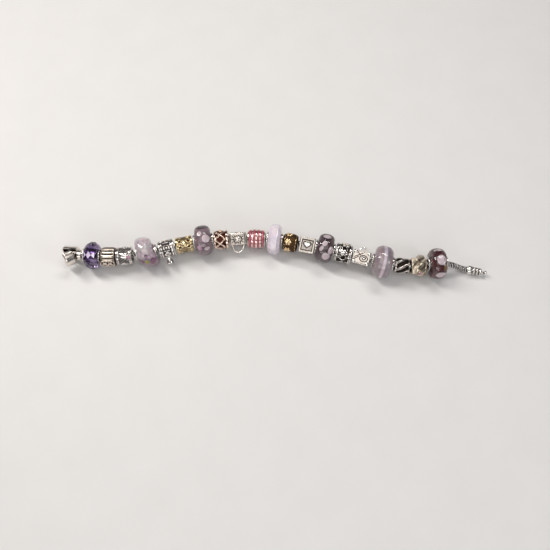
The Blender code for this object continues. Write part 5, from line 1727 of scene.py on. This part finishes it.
@dataclass
class BlossomCharm(Charm):
    """A dark gold ball with blossoms round its middle and twisted wires round its ends."""

    blossoms: int = 6
    petals: int = 6
    left: float = -0.9
    roundness: float = 2.5

    def skin(self, a: Array, z: Array) -> tuple[Array, Array]:
        """A ball drawn in to its lips, with a grained floor."""
        lip = BORE_RADIUS + 0.5
        share = np.clip(np.abs(z) / (self.length / 2.0 + 0.02), 0.0, 1.0)
        ball_radius = lip + (self.radius - lip) * (1.0 - share ** self.roundness) ** (1.0 / self.roundness)
        grain = 0.5 + 0.5 * np.cos(a * 36.0 + 3.0 * z) * np.cos(TURN * z / 0.7)
        return ball_radius - 0.12 + 0.08 * grain, 0.1 + 0.45 * grain

    def shells(self) -> list[Shell]:
        """The ball, six blossoms of six petals each, and the wires."""
        made = [drum(self.length, self.skin, edge=0.1)]
        skin = steady(self.radius - 0.15)
        for angle in circle(self.blossoms):
            for turn in circle(self.petals):
                seat = Seat(skin, angle + 0.95 * math.sin(turn) / self.radius,
                            self.left + 0.95 * math.cos(turn))
                made.append(pillow(oval_points(1.5, 1.1, turn), 0.42, seat, crown=0.8))
            made.append(pillow(oval_points(1.3, 1.3), 0.6, Seat(skin, angle, self.left)))
        for side in (-1, 1):
            path = polar(self.radius - 0.62, circle(120), side * 2.55)
            made.append(wire(path, 0.26, closed=True, reference=(0.0, 0.0, 1.0), lobes=2, twist=4.0))
        return made


@dataclass
class SquareCharm(Charm):
    """A cube with a rim round each sunk panel and a raised heart on it."""

    panel: float = 5.5
    depth: float = 0.35
    heart: float = 3.2

    def skin(self, a: Array, z: Array) -> tuple[Array, Array]:
        """A rounded square, with a panel sunk between four straight rims on each side."""
        reach = box_skin(self.radius, self.radius, 0.3)(a)
        side = wrapped(a, TURN / 4.0)
        down = reach * np.sin(side)
        edge = np.maximum(np.abs(down), np.abs(z)) - self.panel / 2.0
        sunk = 1.0 - ease(-0.14, 0.02, edge)
        return reach - self.depth * sunk, 1.0 - 0.36 * sunk - 0.6 * plateau(edge + 0.2, 0.3, 0.25)

    def shells(self) -> list[Shell]:
        """The cube and its four hearts."""
        made = [drum(self.length, self.skin, edge=0.4, around=256)]
        for number in range(4):
            seat = FlatSeat(self.radius - self.depth, turn=number * TURN / 4.0)
            made.append(engraved(pillow(heart_points(self.heart * 1.28), 0.06, seat, crown=0.2)))
            made.append(pillow(heart_points(self.heart), 0.36, seat, crown=0.45, slot=1))
        return made


@dataclass
class HeartCharm(RimmedCharm):
    """An openwork drum: scrolls and a heart on its face, and a flower above."""

    windows: int = 6
    badge: float = 4.0

    def skin(self, a: Array, z: Array) -> tuple[Array, Array]:
        """Rims and a middle band with deep round windows in it, each with a raised lip."""
        end = self.length / 2.0
        rim = rims(z, end, self.rim_width)
        away = np.hypot(self.on_drum(a, self.windows, math.pi / self.windows), z)
        pit = plateau(away, 1.25, 0.15)
        lip = plateau(away - 1.4, 0.26, 0.2)
        groove = plateau(np.abs(z) - (end - 0.55), 0.18, 0.12)
        between = 0.22 * lip - 0.85 * pit
        r = self.floor + rim * (self.rim_height - 0.25 * groove) + (1.0 - rim) * between
        return r, (1.0 - pit) * np.maximum(rim * (1.0 - 0.8 * groove), np.maximum(lip, 0.15))

    def shells(self) -> list[Shell]:
        """The drum, a heart on its face and one at its back, the flower and the rope scrolls."""
        floor = self.floor
        made = [drum(self.length, self.skin)]
        for angle in (0.0, math.pi):
            seat = Seat(steady(floor + 0.1), angle, -0.4)
            made.append(engraved(pillow(heart_points(self.badge * 1.14), 0.3, seat, crown=0.2)))
            made.append(pillow(heart_points(self.badge), 0.7, seat, crown=0.7))
        flower = Seat(steady(floor + 0.35), math.radians(-66.0), 0.5)
        for petal in range(5):
            turn = petal * TURN / 5.0 - math.pi / 2.0
            outline = oval_points(2.0, 1.5, turn) + 1.25 * np.array([math.cos(turn), math.sin(turn)])
            centre = outline.mean(axis=0)
            seat = Seat(flower.radius, flower.angle + centre[1] / (floor + 0.35), flower.along + centre[0])
            made.append(pillow(outline - centre, 0.62, seat, crown=0.7, slot=1))
        made.append(pillow(oval_points(1.1, 1.1), 0.85, flower, slot=1))
        for side, turn, start in ((-1, 1.0, 0.6), (1, -1.0, 0.5), (-1, -1.0, -0.7), (1, 1.0, 2.4)):
            t = np.linspace(0.0, 1.35 * TURN, 60)
            size = 1.35 * (1.0 - t / (1.6 * TURN))
            curl = polar(size, turn * t, 0.28) + np.array([side * 2.2, 2.1 * start, 0.0])
            made.append(wire(Seat(steady(floor)).place(curl), 0.24, lobes=3, twist=6.0))
        return made


@dataclass
class SuitcaseCharm(Charm):
    """A suitcase: corner caps, an oval frame, engraved lines and a handle on its upper side."""

    depth: float = 5.7
    handle_width: float = 3.2
    handle_reach: float = 1.7
    handle_wire: float = 0.35
    lines: tuple[tuple[float, float, float, float], ...] = (
        (-3.4, 0.4, 0.3, -2.3), (-3.6, 1.5, -1.3, -0.4), (-2.4, -2.4, -0.6, -0.9))

    def skin(self, a: Array, z: Array) -> tuple[Array, Array]:
        """A rounded box with a seam round its middle."""
        reach = box_skin(self.depth / 2.0, self.radius, 0.7)(a)
        seam = plateau(np.abs(reach * np.cos(a)) - 0.6, 0.12, 0.08)
        return reach - 0.12 * seam, 0.9 - 0.8 * seam + 0.0 * z

    def shells(self) -> list[Shell]:
        """The case, its caps, frame, heart, engraved lines and handle."""
        face = self.depth / 2.0 - 0.05
        end = self.length / 2.0
        made = [drum(self.length, self.skin, edge=0.5)]
        for across in (-1, 1):
            for side in (-1, 1):
                spot = FlatSeat(face - 0.35, across * (self.radius - 0.95), side * (end - 0.95))
                cap = pillow(oval_points(1.9, 1.9), 0.8, spot, crown=0.7, slot=1)
                made += [cap, cap.moved(rotation(1, math.pi))]
        frame = at_height(oval_points(3.6, 2.8, count=40), 0.05)
        made.append(engraved(wire(FlatSeat(face, 0.25, 1.0).place(frame), 0.22, closed=True)))
        made.append(engraved(pillow(heart_points(2.2), 0.08, FlatSeat(face, 0.3, 1.0), crown=0.2)))
        made.append(pillow(heart_points(1.5), 0.3, FlatSeat(face, 0.3, 1.0), slot=1))
        t = np.linspace(0.0, 1.0, 14)[:, None]
        for line in self.lines:
            path = at_height(np.array(line[:2]) * (1.0 - t) + np.array(line[2:]) * t, 0.04)
            made.append(engraved(wire(FlatSeat(face).place(path), 0.2)))
        made.append(wire(arch(self.handle_width, self.handle_reach + 0.6, self.radius - 0.6, False),
                         self.handle_wire, 14, slot=1))
        return made


@dataclass
class KnotCharm(Charm):
    """A dark charm of thick strands that twist round the chain between two smooth ends."""

    lobes: int = 6
    depth: float = 0.8
    twist: float = math.radians(70.0)
    rim_share: float = 0.86

    def skin(self, a: Array, z: Array) -> tuple[Array, Array]:
        """Lobes that turn by the twist from end to end, each split by a fine line, under a round swell."""
        share = 0.5 - z / self.length
        swell = self.rim_share + (1.0 - self.rim_share) * np.sin(math.pi * np.clip(share, 0.0, 1.0))
        turned = a + FACE_ROLL - self.twist * share
        wave = 0.5 + 0.5 * np.cos(self.lobes * turned)
        line = plateau(wrapped(turned, TURN / self.lobes), 0.05, 0.03)
        fade = 1.0 - rims(z, self.length / 2.0, 0.7)
        r = (self.radius - self.depth * (1.0 - wave) * fade) * swell - 0.12 * line * fade
        return r, np.maximum(wave ** 1.5 * (1.0 - 0.7 * line), 0.8 * (1.0 - fade))

    def shells(self) -> list[Shell]:
        """The twisted body."""
        return [drum(self.length, self.skin, edge=0.25)]


@dataclass
class FoldedCharm(Charm):
    """Folded planes: a square end turned against the other, broad slanting pleats and a stone on a pad."""

    pleats: int = 5
    pleat_depth: float = 0.5
    pleat_run: float = 5.5
    corner_radius: float = 5.6
    end_share: float = 0.84
    shoulder: float = 0.2
    twist: float = math.radians(30.0)
    stone_angle: float = math.radians(47.0)

    def square(self, a: Array, turn: float) -> Array:
        """The reach of a square whose corners stand at the turn plus each quarter and a half."""
        side = wrapped(a - turn, TURN / 4.0)
        return self.corner_radius * math.cos(math.pi / 4.0) / np.cos(side)

    def skin(self, a: Array, z: Array) -> tuple[Array, Array]:
        """One square blends into the other between the shoulders, both taper, and pleats run over them."""
        share = 0.5 - z / self.length
        low = 0.5 - self.shoulder
        across = np.clip((share - low) / (2.0 * self.shoulder), 0.0, 1.0)
        away = np.clip((np.abs(share - 0.5) - self.shoulder) / low, 0.0, 1.0)
        taper = 1.0 - (1.0 - self.end_share) * away
        first = self.square(a, self.twist)
        second = self.square(a, 0.0)
        r = (first * (1.0 - across) + second * across) * taper
        pleat = 2.0 * np.abs(wrapped(a / TURN * self.pleats + z / self.pleat_run, 1.0))
        fade = 1.0 - ease(self.length / 2.0 - 0.9, self.length / 2.0 - 0.3, np.abs(z))
        return r - self.pleat_depth * pleat * fade, 1.0 - 0.75 * pleat * fade

    def shells(self) -> list[Shell]:
        """The folded body, a pad and the bezel."""
        made = [drum(self.length, self.skin, edge=0.2, around=256)]
        place = on_surface(self.radius - 1.1, self.stone_angle, 0.0)
        made.append(lathed([(1.17, 1.1), (1.17, 0.0)], 0.15, 32).moved(place))
        return made + bezel(self.stone_seat())

    def stone_seat(self) -> Array:
        """The frame of the stone and its bezel, on the pad."""
        return on_surface(self.radius, self.stone_angle, 0.0)

    def build(self, route: Route) -> None:
        """Make the charm and its stone."""
        super().build(route)
        build_stone(self.node, route, self.stone_seat())


# Chain, threaded end and clasp

@dataclass
class SnakeChain:
    """The snake chain: fine wavy plates threaded close together along the route."""

    radius: float = CHAIN_RADIUS
    pitch: float = 1.2
    waves: int = 1
    rows_per_link: int = 10
    sides: int = 32
    core_share: float = 0.68
    slant: float = 1.6

    def build(self, route: Route) -> None:
        """Make the whole chain as one closed surface.

        Its radius at length s and angle a is r(c + (1 - c)|sin π(s / pitch + w)|^0.8), where c is the
        core's share and w is the slant times a triangle that rises and falls as a goes round.

        Args:
            route: the chain's route.
        """
        start = GAP
        end = route.chain_end + SOCKET_DEPTH - GAP
        count = int((end - start) / self.pitch * self.rows_per_link)
        s = np.linspace(start, end, count)
        path = route.along(s)
        ahead = np.gradient(path, axis=0)
        ahead /= np.linalg.norm(ahead, axis=1, keepdims=True)
        side = np.cross(ahead, (0.0, 0.0, 1.0))
        side /= np.linalg.norm(side, axis=1, keepdims=True)
        up = np.cross(side, ahead)
        a = circle(self.sides)[None, :]
        fold = np.abs(wrapped(a * self.waves / TURN + 0.25, 1.0)) * 2.0
        wave = np.abs(np.sin(math.pi * (s[:, None] / self.pitch + self.slant * fold))) ** 0.8
        reach = self.radius * (self.core_share + (1.0 - self.core_share) * wave) - 0.02
        shell = loft(around_path(path, side, up, reach, a), wave ** 3)
        make_piece("chain_links", [shell], np.eye(4), [CHAIN_SILVER], ("snake_chain",),
                   crease=80.0)


@dataclass
class ThreadedEnd:
    """The collar on the chain's end, the screw thread and the small tip."""

    collar_radius: float = COLLAR_RADIUS
    collar_length: float = 2.0
    thread_radius: float = 2.0
    root_radius: float = 1.45
    pitch: float = 1.45
    turns: int = 3
    neck_radius: float = 0.55
    neck_length: float = 1.2
    tip_radius: float = 1.1
    tip_length: float = 1.5

    def build(self, route: Route) -> None:
        """Make the collar, the thread, the neck and the tip as one piece.

        The thread's radius follows a cosine of the place along less the angle, so its ridge climbs.

        Args:
            route: the chain's route, which places the end.
        """
        start = self.collar_length
        stop = start + self.turns * self.pitch
        z = np.linspace(start - 0.2, stop, 80)[:, None]
        a = circle(48)[None, :]
        ridge = (0.5 + 0.5 * np.cos(TURN * (z - start) / self.pitch - a - math.pi)) ** 0.7
        fade = ease(start - 0.2, start + 0.3, z) * (1.0 - ease(stop - 0.25, stop, z))
        r = self.root_radius + (self.thread_radius - self.root_radius) * ridge * fade
        thread = loft(polar(r, a, z), ridge * fade + 0.2)
        socket = CHAIN_RADIUS + 0.1
        collar = lathed([(socket, 1.0), (socket, 0.0), (self.collar_radius, 0.0),
                         (self.collar_radius, start), (0.9, start), (0.9, 1.0)], 0.25, 48, solid=False)
        near = stop + self.neck_length
        far = near + self.tip_length
        neck = lathed([(self.neck_radius, stop - 0.4), (self.neck_radius, near + 0.3)], 0.05, 24)
        tip = lathed([(self.neck_radius, near), (self.tip_radius, near + 0.5),
                      (self.tip_radius, near + 1.0), (0.65, far)], 0.2, 40)
        make_piece("threaded_tip", [collar, thread, neck, tip], route.at(route.chain_end), [SILVER],
                   ("threaded_end",))


@dataclass
class BarrelClasp:
    """The barrel clasp: a fixed half with the neck and hinge cheeks, a pin and the open jaw."""

    radius: float = 4.0
    wall: float = 0.6
    length: float = 8.6
    chamfer: float = 0.5
    neck_radius: float = 2.5
    neck_length: float = 1.8
    mouth_radius: float = 1.3
    jaw_length: float = 4.0
    opening: float = math.radians(38.0)
    pin_radius: float = 0.35
    pin_from_end: float = 3.7
    pin_offset: float = 0.4
    arm_width: float = 3.0
    cheek_gap: float = 0.4
    cheek_thickness: float = 0.7

    def half_barrel(self, rear: float, start: float, stop: float, closed_rear: bool) -> Shell:
        """Half of the barrel's wall with its mouth plate.

        Args:
            rear: where the wall ends behind.
            start: the angle of its first edge.
            stop: the angle of its other edge.
            closed_rear: whether it has a back plate too.

        Returns:
            The half's shell.
        """
        inner = self.radius - self.wall
        lip = self.radius - self.chamfer
        front = -self.length
        outer = [(lip, front), (self.radius, front + self.chamfer), (self.radius, rear - self.chamfer)]
        plate = front + self.wall
        inside = [(inner - 0.2, plate), (inner, plate + 0.2), (inner, rear - self.chamfer)]
        if closed_rear:
            outer += [(lip, rear), (0.01, rear)]
            inside += [(inner - 0.2, rear - self.wall), (0.01, rear - self.wall)]
        else:
            outer += [(self.radius, rear)]
            inside += [(inner, rear)]
        outer = filleted([(self.mouth_radius, front)] + outer, 0.3)
        inside = filleted([(self.mouth_radius, plate)] + inside, 0.2)
        return trough(outer, inside, start, stop)

    def build(self, route: Route) -> None:
        """Make the fixed half, the pin and the jaw, each its own piece.

        Args:
            route: the chain's route, which places the clasp.
        """
        frame = route.at(SOCKET_DEPTH, roll=CLASP_ROLL)
        slit = GAP / 2.0 / self.radius
        quarter = math.pi / 2.0
        fixed = self.half_barrel(-self.neck_length, quarter + slit, 3.0 * quarter - slit, True)
        socket = CHAIN_RADIUS + 0.1
        neck = lathed([(socket, -1.0), (socket, 0.0), (self.neck_radius, 0.0),
                       (self.neck_radius, -self.neck_length - 0.1), (0.8, -self.neck_length - 0.1),
                       (0.8, -1.0)], 0.3, 48, solid=False)
        back = -self.neck_length - self.wall
        near = self.arm_width / 2.0 + self.cheek_gap
        half = near + self.cheek_thickness
        cheeks = [rounded_box((-2.95, low, back - 2.1), (1.2, high, back + 0.25), 0.2)
                  for low, high in ((-half, -near), (near, half))]
        make_piece("clasp_shell", [fixed, neck] + cheeks, frame, [PALE_SILVER], ("clasp_body",))
        across = shift(self.pin_offset, 0.0, -self.pin_from_end) @ rotation(0, math.pi / 2.0)
        pin = lathed([(self.pin_radius, half), (self.pin_radius, -half)], 0.1, 24).moved(across)
        make_piece("hinge_pin", [pin], frame, [SILVER], ("clasp_pin",))
        turn = (shift(self.pin_offset, 0.0, -self.pin_from_end) @ rotation(1, -self.opening)
                @ shift(-self.pin_offset, 0.0, self.pin_from_end))
        rear = self.jaw_length - self.length
        jaw = self.half_barrel(rear, -quarter + slit, quarter - slit, False)
        boss = lathed([(1.05, 1.5), (1.05, -1.5)], 0.2, 32)
        arm = self.arm(self.radius - self.wall, rear)
        opened = [shell.moved(turn) for shell in (jaw, boss.moved(across), arm)]
        make_piece("jaw_shell", opened, frame, [PALE_SILVER], ("clasp_jaw",), body="jaw")

    def arm(self, inner: float, rear: float) -> Shell:
        """The arm from the pin's boss to the jaw's wall: a rounded bar that narrows to the wall.

        Its section is a square with round corners, the fifth root of 1 / (|cos a|⁵ + |sin a|⁵).

        Args:
            inner: the wall's inner radius.
            rear: where the jaw's wall ends behind.

        Returns:
            The arm's shell.
        """
        start = np.array([self.pin_offset, 0.0, -self.pin_from_end])
        stop = np.array([inner, 0.0, rear - 0.9])
        t = np.linspace(0.0, 1.0, 10)[:, None]
        spine = start * (1.0 - t) + stop * t
        way = (stop - start) / np.linalg.norm(stop - start)
        thick = np.cross(way, (0.0, 1.0, 0.0))
        thickness = 0.95 - 0.45 * t[:, 0]
        width = self.arm_width / 2.0 - 0.05
        a = circle(24)[None, :]
        square = (np.abs(np.cos(a)) ** 5 + np.abs(np.sin(a)) ** 5) ** (-0.2)
        rows = (spine[:, None] + (square * np.cos(a))[..., None] * np.array([0.0, width, 0.0])
                + (square * np.sin(a) * thickness[:, None])[..., None] * thick)
        return loft(rows)


# The studio

@dataclass(frozen=True)
class Studio:
    """A pale floor, soft lights and the camera."""

    elevation: float = math.radians(68.0)
    distance: float = 0.2846
    lens: float = 40.76
    aim: tuple[float, float, float] = (-0.0002, -0.0113, 0.006)

    def camera(self) -> None:
        """The camera, over the near side of the bracelet and looking down on it."""
        data = bpy.data.cameras.new("camera")
        data.lens = self.lens
        data.sensor_width = 36.0
        data.clip_start = 0.01
        camera = bpy.data.objects.new("camera", data)
        bpy.context.scene.collection.objects.link(camera)
        back = (0.0, -math.cos(self.elevation), math.sin(self.elevation))
        camera.location = [a + b * self.distance for a, b in zip(self.aim, back)]
        camera.rotation_euler = (math.pi / 2.0 - self.elevation, 0.0, 0.0)
        bpy.context.scene.camera = camera

    def light(self, name: str, place: tuple[float, float, float], size: tuple[float, float], power: float,
              colour: Colour = (1.0, 1.0, 1.0)) -> None:
        """A rectangular soft light that faces the bracelet.

        Args:
            name: the light's name.
            place: where it stands, in metres.
            size: its width and height.
            power: its strength in watts.
            colour: its tint.
        """
        data = bpy.data.lights.new(name, "AREA")
        data.shape = "RECTANGLE"
        data.size, data.size_y = size
        data.energy = power
        data.color = colour
        lamp = bpy.data.objects.new(name, data)
        bpy.context.scene.collection.objects.link(lamp)
        lamp.location = place
        x, y, z = place
        lamp.rotation_euler = (math.atan2(math.hypot(x, y), z), 0.0, math.atan2(x, -y))

    def build(self) -> None:
        """Set up the floor, the world, the lights and the camera."""
        side = 3.0
        mesh = bpy.data.meshes.new("floor")
        mesh.from_pydata([(-side, -side, 0.0), (side, -side, 0.0), (side, side, 0.0), (-side, side, 0.0)], [],
                         [(0, 1, 2, 3)])
        material = bpy.data.materials.new("pale_floor")
        material.use_nodes = True
        board = Board(material.node_tree)
        shader = material.node_tree.nodes["Principled BSDF"]
        grain = board.noise(60.0, 2.0)
        board.feed(shader, "Base Color", board.mix(grain, (0.66, 0.65, 0.64), (0.70, 0.69, 0.68)))
        board.feed(shader, "Roughness", 0.6)
        mesh.materials.append(material)
        floor = bpy.data.objects.new("floor", mesh)
        bpy.context.scene.collection.objects.link(floor)
        world = bpy.data.worlds.new("studio")
        world.use_nodes = True
        world.node_tree.nodes["Background"].inputs["Color"].default_value = (0.07, 0.07, 0.075, 1.0)
        bpy.context.scene.world = world
        bpy.context.scene.view_settings.view_transform = "Standard"
        self.light("key", (-0.36, 0.20, 0.50), (0.14, 0.40), 2.6, (1.0, 0.96, 0.92))
        self.light("top", (0.12, 0.34, 0.56), (0.40, 0.10), 1.4, (1.0, 0.98, 0.96))
        self.light("front", (-0.04, -0.18, 0.60), (0.50, 0.36), 0.85, (1.0, 0.97, 0.94))
        self.light("fill", (-0.12, -0.50, 0.26), (0.60, 0.20), 0.9, (1.0, 0.98, 0.97))
        self.light("side", (0.50, -0.20, 0.30), (0.16, 0.3), 0.8, (0.95, 0.97, 1.0))
        self.camera()


def pearl_painted_light(right: Array, down: Array) -> Array:
    """Painted light and shade: whitish at the upper left, where the light falls, and mauve at the lower
    right.
    """
    return 1.0 - 0.9 * ease(-1.5, 6.5, down + 0.35 * right)


def painted_dark_cap(right: Array, down: Array) -> Array:
    """A painted dark reflection: a dark cap over the top of the bead, where the glass shows a dark surround.
    """
    return ease(-5.3, -4.5, down + 0.0 * right)


def stripe_tone(right: Array, down: Array) -> Array:
    """A soft stripe round the bead that bows a little to the right in front."""
    return ease(0.35, 0.95, np.abs(right - 0.5 * (1.0 - (down / 7.0) ** 2)))


def beads() -> list[GlassBead | Charm]:
    """Every bead of the bracelet, from the clasp to the tip.

    Returns:
        The beads, each with its finishes.
    """
    pale_pink = BodyFinish("pale_pink_dots", (0.94, 0.82, 0.85), (0.88, 0.74, 0.78), coat=0.3)
    bright_pink = BodyFinish("bright_pink_dots", (0.86, 0.58, 0.74), (0.80, 0.50, 0.66), coat=0.3)
    mauve_petal = BodyFinish("mauve_petals", (0.26, 0.11, 0.19), (0.36, 0.17, 0.27), coat=0.3)
    yellow = BodyFinish("yellow_heart", (0.52, 0.48, 0.05), (0.42, 0.37, 0.03))
    ochre = BodyFinish("ochre_patch", (0.24, 0.13, 0.05), (0.16, 0.08, 0.03))
    purple = GlassFinish("cut_purple", (0.27, 0.20, 0.36), (0.20, 0.14, 0.29), ripple=0.0, roughness=0.0)
    # The pearl's shade tint is the painted shade at its lower right
    pearl = BodyFinish("pearl_pink", (0.88, 0.80, 0.82), (0.75, 0.64, 0.69), shade=(0.42, 0.26, 0.35),
                       roughness=0.18, coat=1.0, soft=0.2, scale=160.0)
    # The mauve body's shade tint is the painted dark reflection over the top of the bead
    mauve = BodyFinish("mauve_body", (0.35, 0.25, 0.29), (0.26, 0.18, 0.21), shade=(0.035, 0.015, 0.022))
    lilac = BodyFinish("pale_lilac", (0.72, 0.65, 0.72), (0.60, 0.53, 0.61), soft=0.3, roughness=0.15,
                       coat=0.8)
    smoky = BodyFinish("smoky_body", (0.13, 0.08, 0.095), (0.075, 0.04, 0.05))
    grey = BodyFinish("grey_pink", (0.50, 0.42, 0.44), (0.42, 0.34, 0.37), shade=(0.93, 0.82, 0.87), soft=0.2)
    maroon = BodyFinish("maroon_body", (0.13, 0.035, 0.04), (0.07, 0.015, 0.02))
    return [
        FacetedBead("faceted_glass", Slot.PURPLE, purple),
        FlutedCharm("fluted_charm", WARM_SILVER),
        LeafCharm("leaf_charm"),
        GlassBead("pearl_glass", Slot.PINK, pearl, depth=0.5, inlay_depth=0.28, tone=pearl_painted_light, lean=0.17,
                  dent=1.0, inlays=[
                      (yellow, [(-0.6, 4.9, 1.7, 2.2, 8.0)]),
                      (mauve_petal, [(1.9, 4.7, 2.3, 3.6, 25.0), (-0.2, 2.4, 1.7, 1.9, 0.0),
                                     (-2.5, 4.3, 1.7, 2.2, 20.0), (-3.4, 3.2, 0.8, 1.3, 30.0)])]),
        TurretCharm("turret_charm"),
        StarCharm("star_charm", GOLD, Slot.GOLD),
        GlassBead("dotted_glass", Slot.MAUVE, mauve, tone=painted_dark_cap, inlays=[
            (pale_pink, [(1.4, -0.4, 3.3, 3.7, 0.0), (-1.2, -2.9, 2.0, 2.4, 0.0), (1.4, 4.1, 2.4, 1.8, 0.0)]),
            (bright_pink, [(-1.8, 3.5, 1.9, 2.3, 0.0)])]),
        LatticeCharm("lattice_charm", ROSE_GOLD, Slot.ROSE),
        HandbagCharm("handbag_charm", SATIN_SILVER, raised=PALE_SILVER),
        StripedCharm("striped_charm", PALE_SILVER),
        BlockBead("block_glass", Slot.PALE, lilac),
        BlossomCharm("blossom_charm", DARK_GOLD, Slot.GOLD),
        SquareCharm("square_charm", SATIN_SILVER),
        GlassBead("blob_glass", Slot.SMOKY, smoky, depth=1.1, inlays=[
            (pale_pink, [(0.0, -5.2, 3.6, 2.6, 0.0), (-0.4, -1.8, 2.2, 2.5, 30.0),
                         (-1.4, 0.7, 1.6, 2.7, 20.0), (2.7, 0.7, 2.0, 3.7, 10.0),
                         (1.1, 3.9, 3.4, 3.6, 0.0)])]),
        HeartCharm("heart_charm", raised=SATIN_SILVER),
        SuitcaseCharm("suitcase_charm", SATIN_SILVER),
        GlassBead("cats_eye_glass", Slot.GREY, grey, depth=0.6, tone=stripe_tone),
        KnotCharm("knot_charm", DARK_SILVER, Slot.DARK),
        FoldedCharm("folded_charm", BRONZED, crease=12.0),
        GlassBead("petal_glass", Slot.MAROON, maroon, depth=1.1, inlays=[
            (pale_pink, [(0.6, -1.6, 4.1, 4.8, 0.0), (0.6, 5.3, 4.4, 3.4, 0.0), (-0.2, -5.9, 3.4, 1.6, 0.0)]),
            (ochre, [(2.3, 1.9, 2.0, 3.2, 0.0)])]),
    ]


def main() -> None:
    """Build the bracelet's pieces from the clasp to the tip, then the studio."""
    logging.basicConfig(level=logging.INFO, format="%(message)s")
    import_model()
    GROUPS["worn_metal"] = worn_metal_group()
    GROUPS["cloudy"] = cloudy_group()
    route = Route()
    BarrelClasp().build(route)
    SnakeChain().build(route)
    for bead in beads():
        bead.build(route)
    ThreadedEnd().build(route)
    Studio().build()
    bpy.context.view_layer.update()


if __name__ == "__main__":
    main()
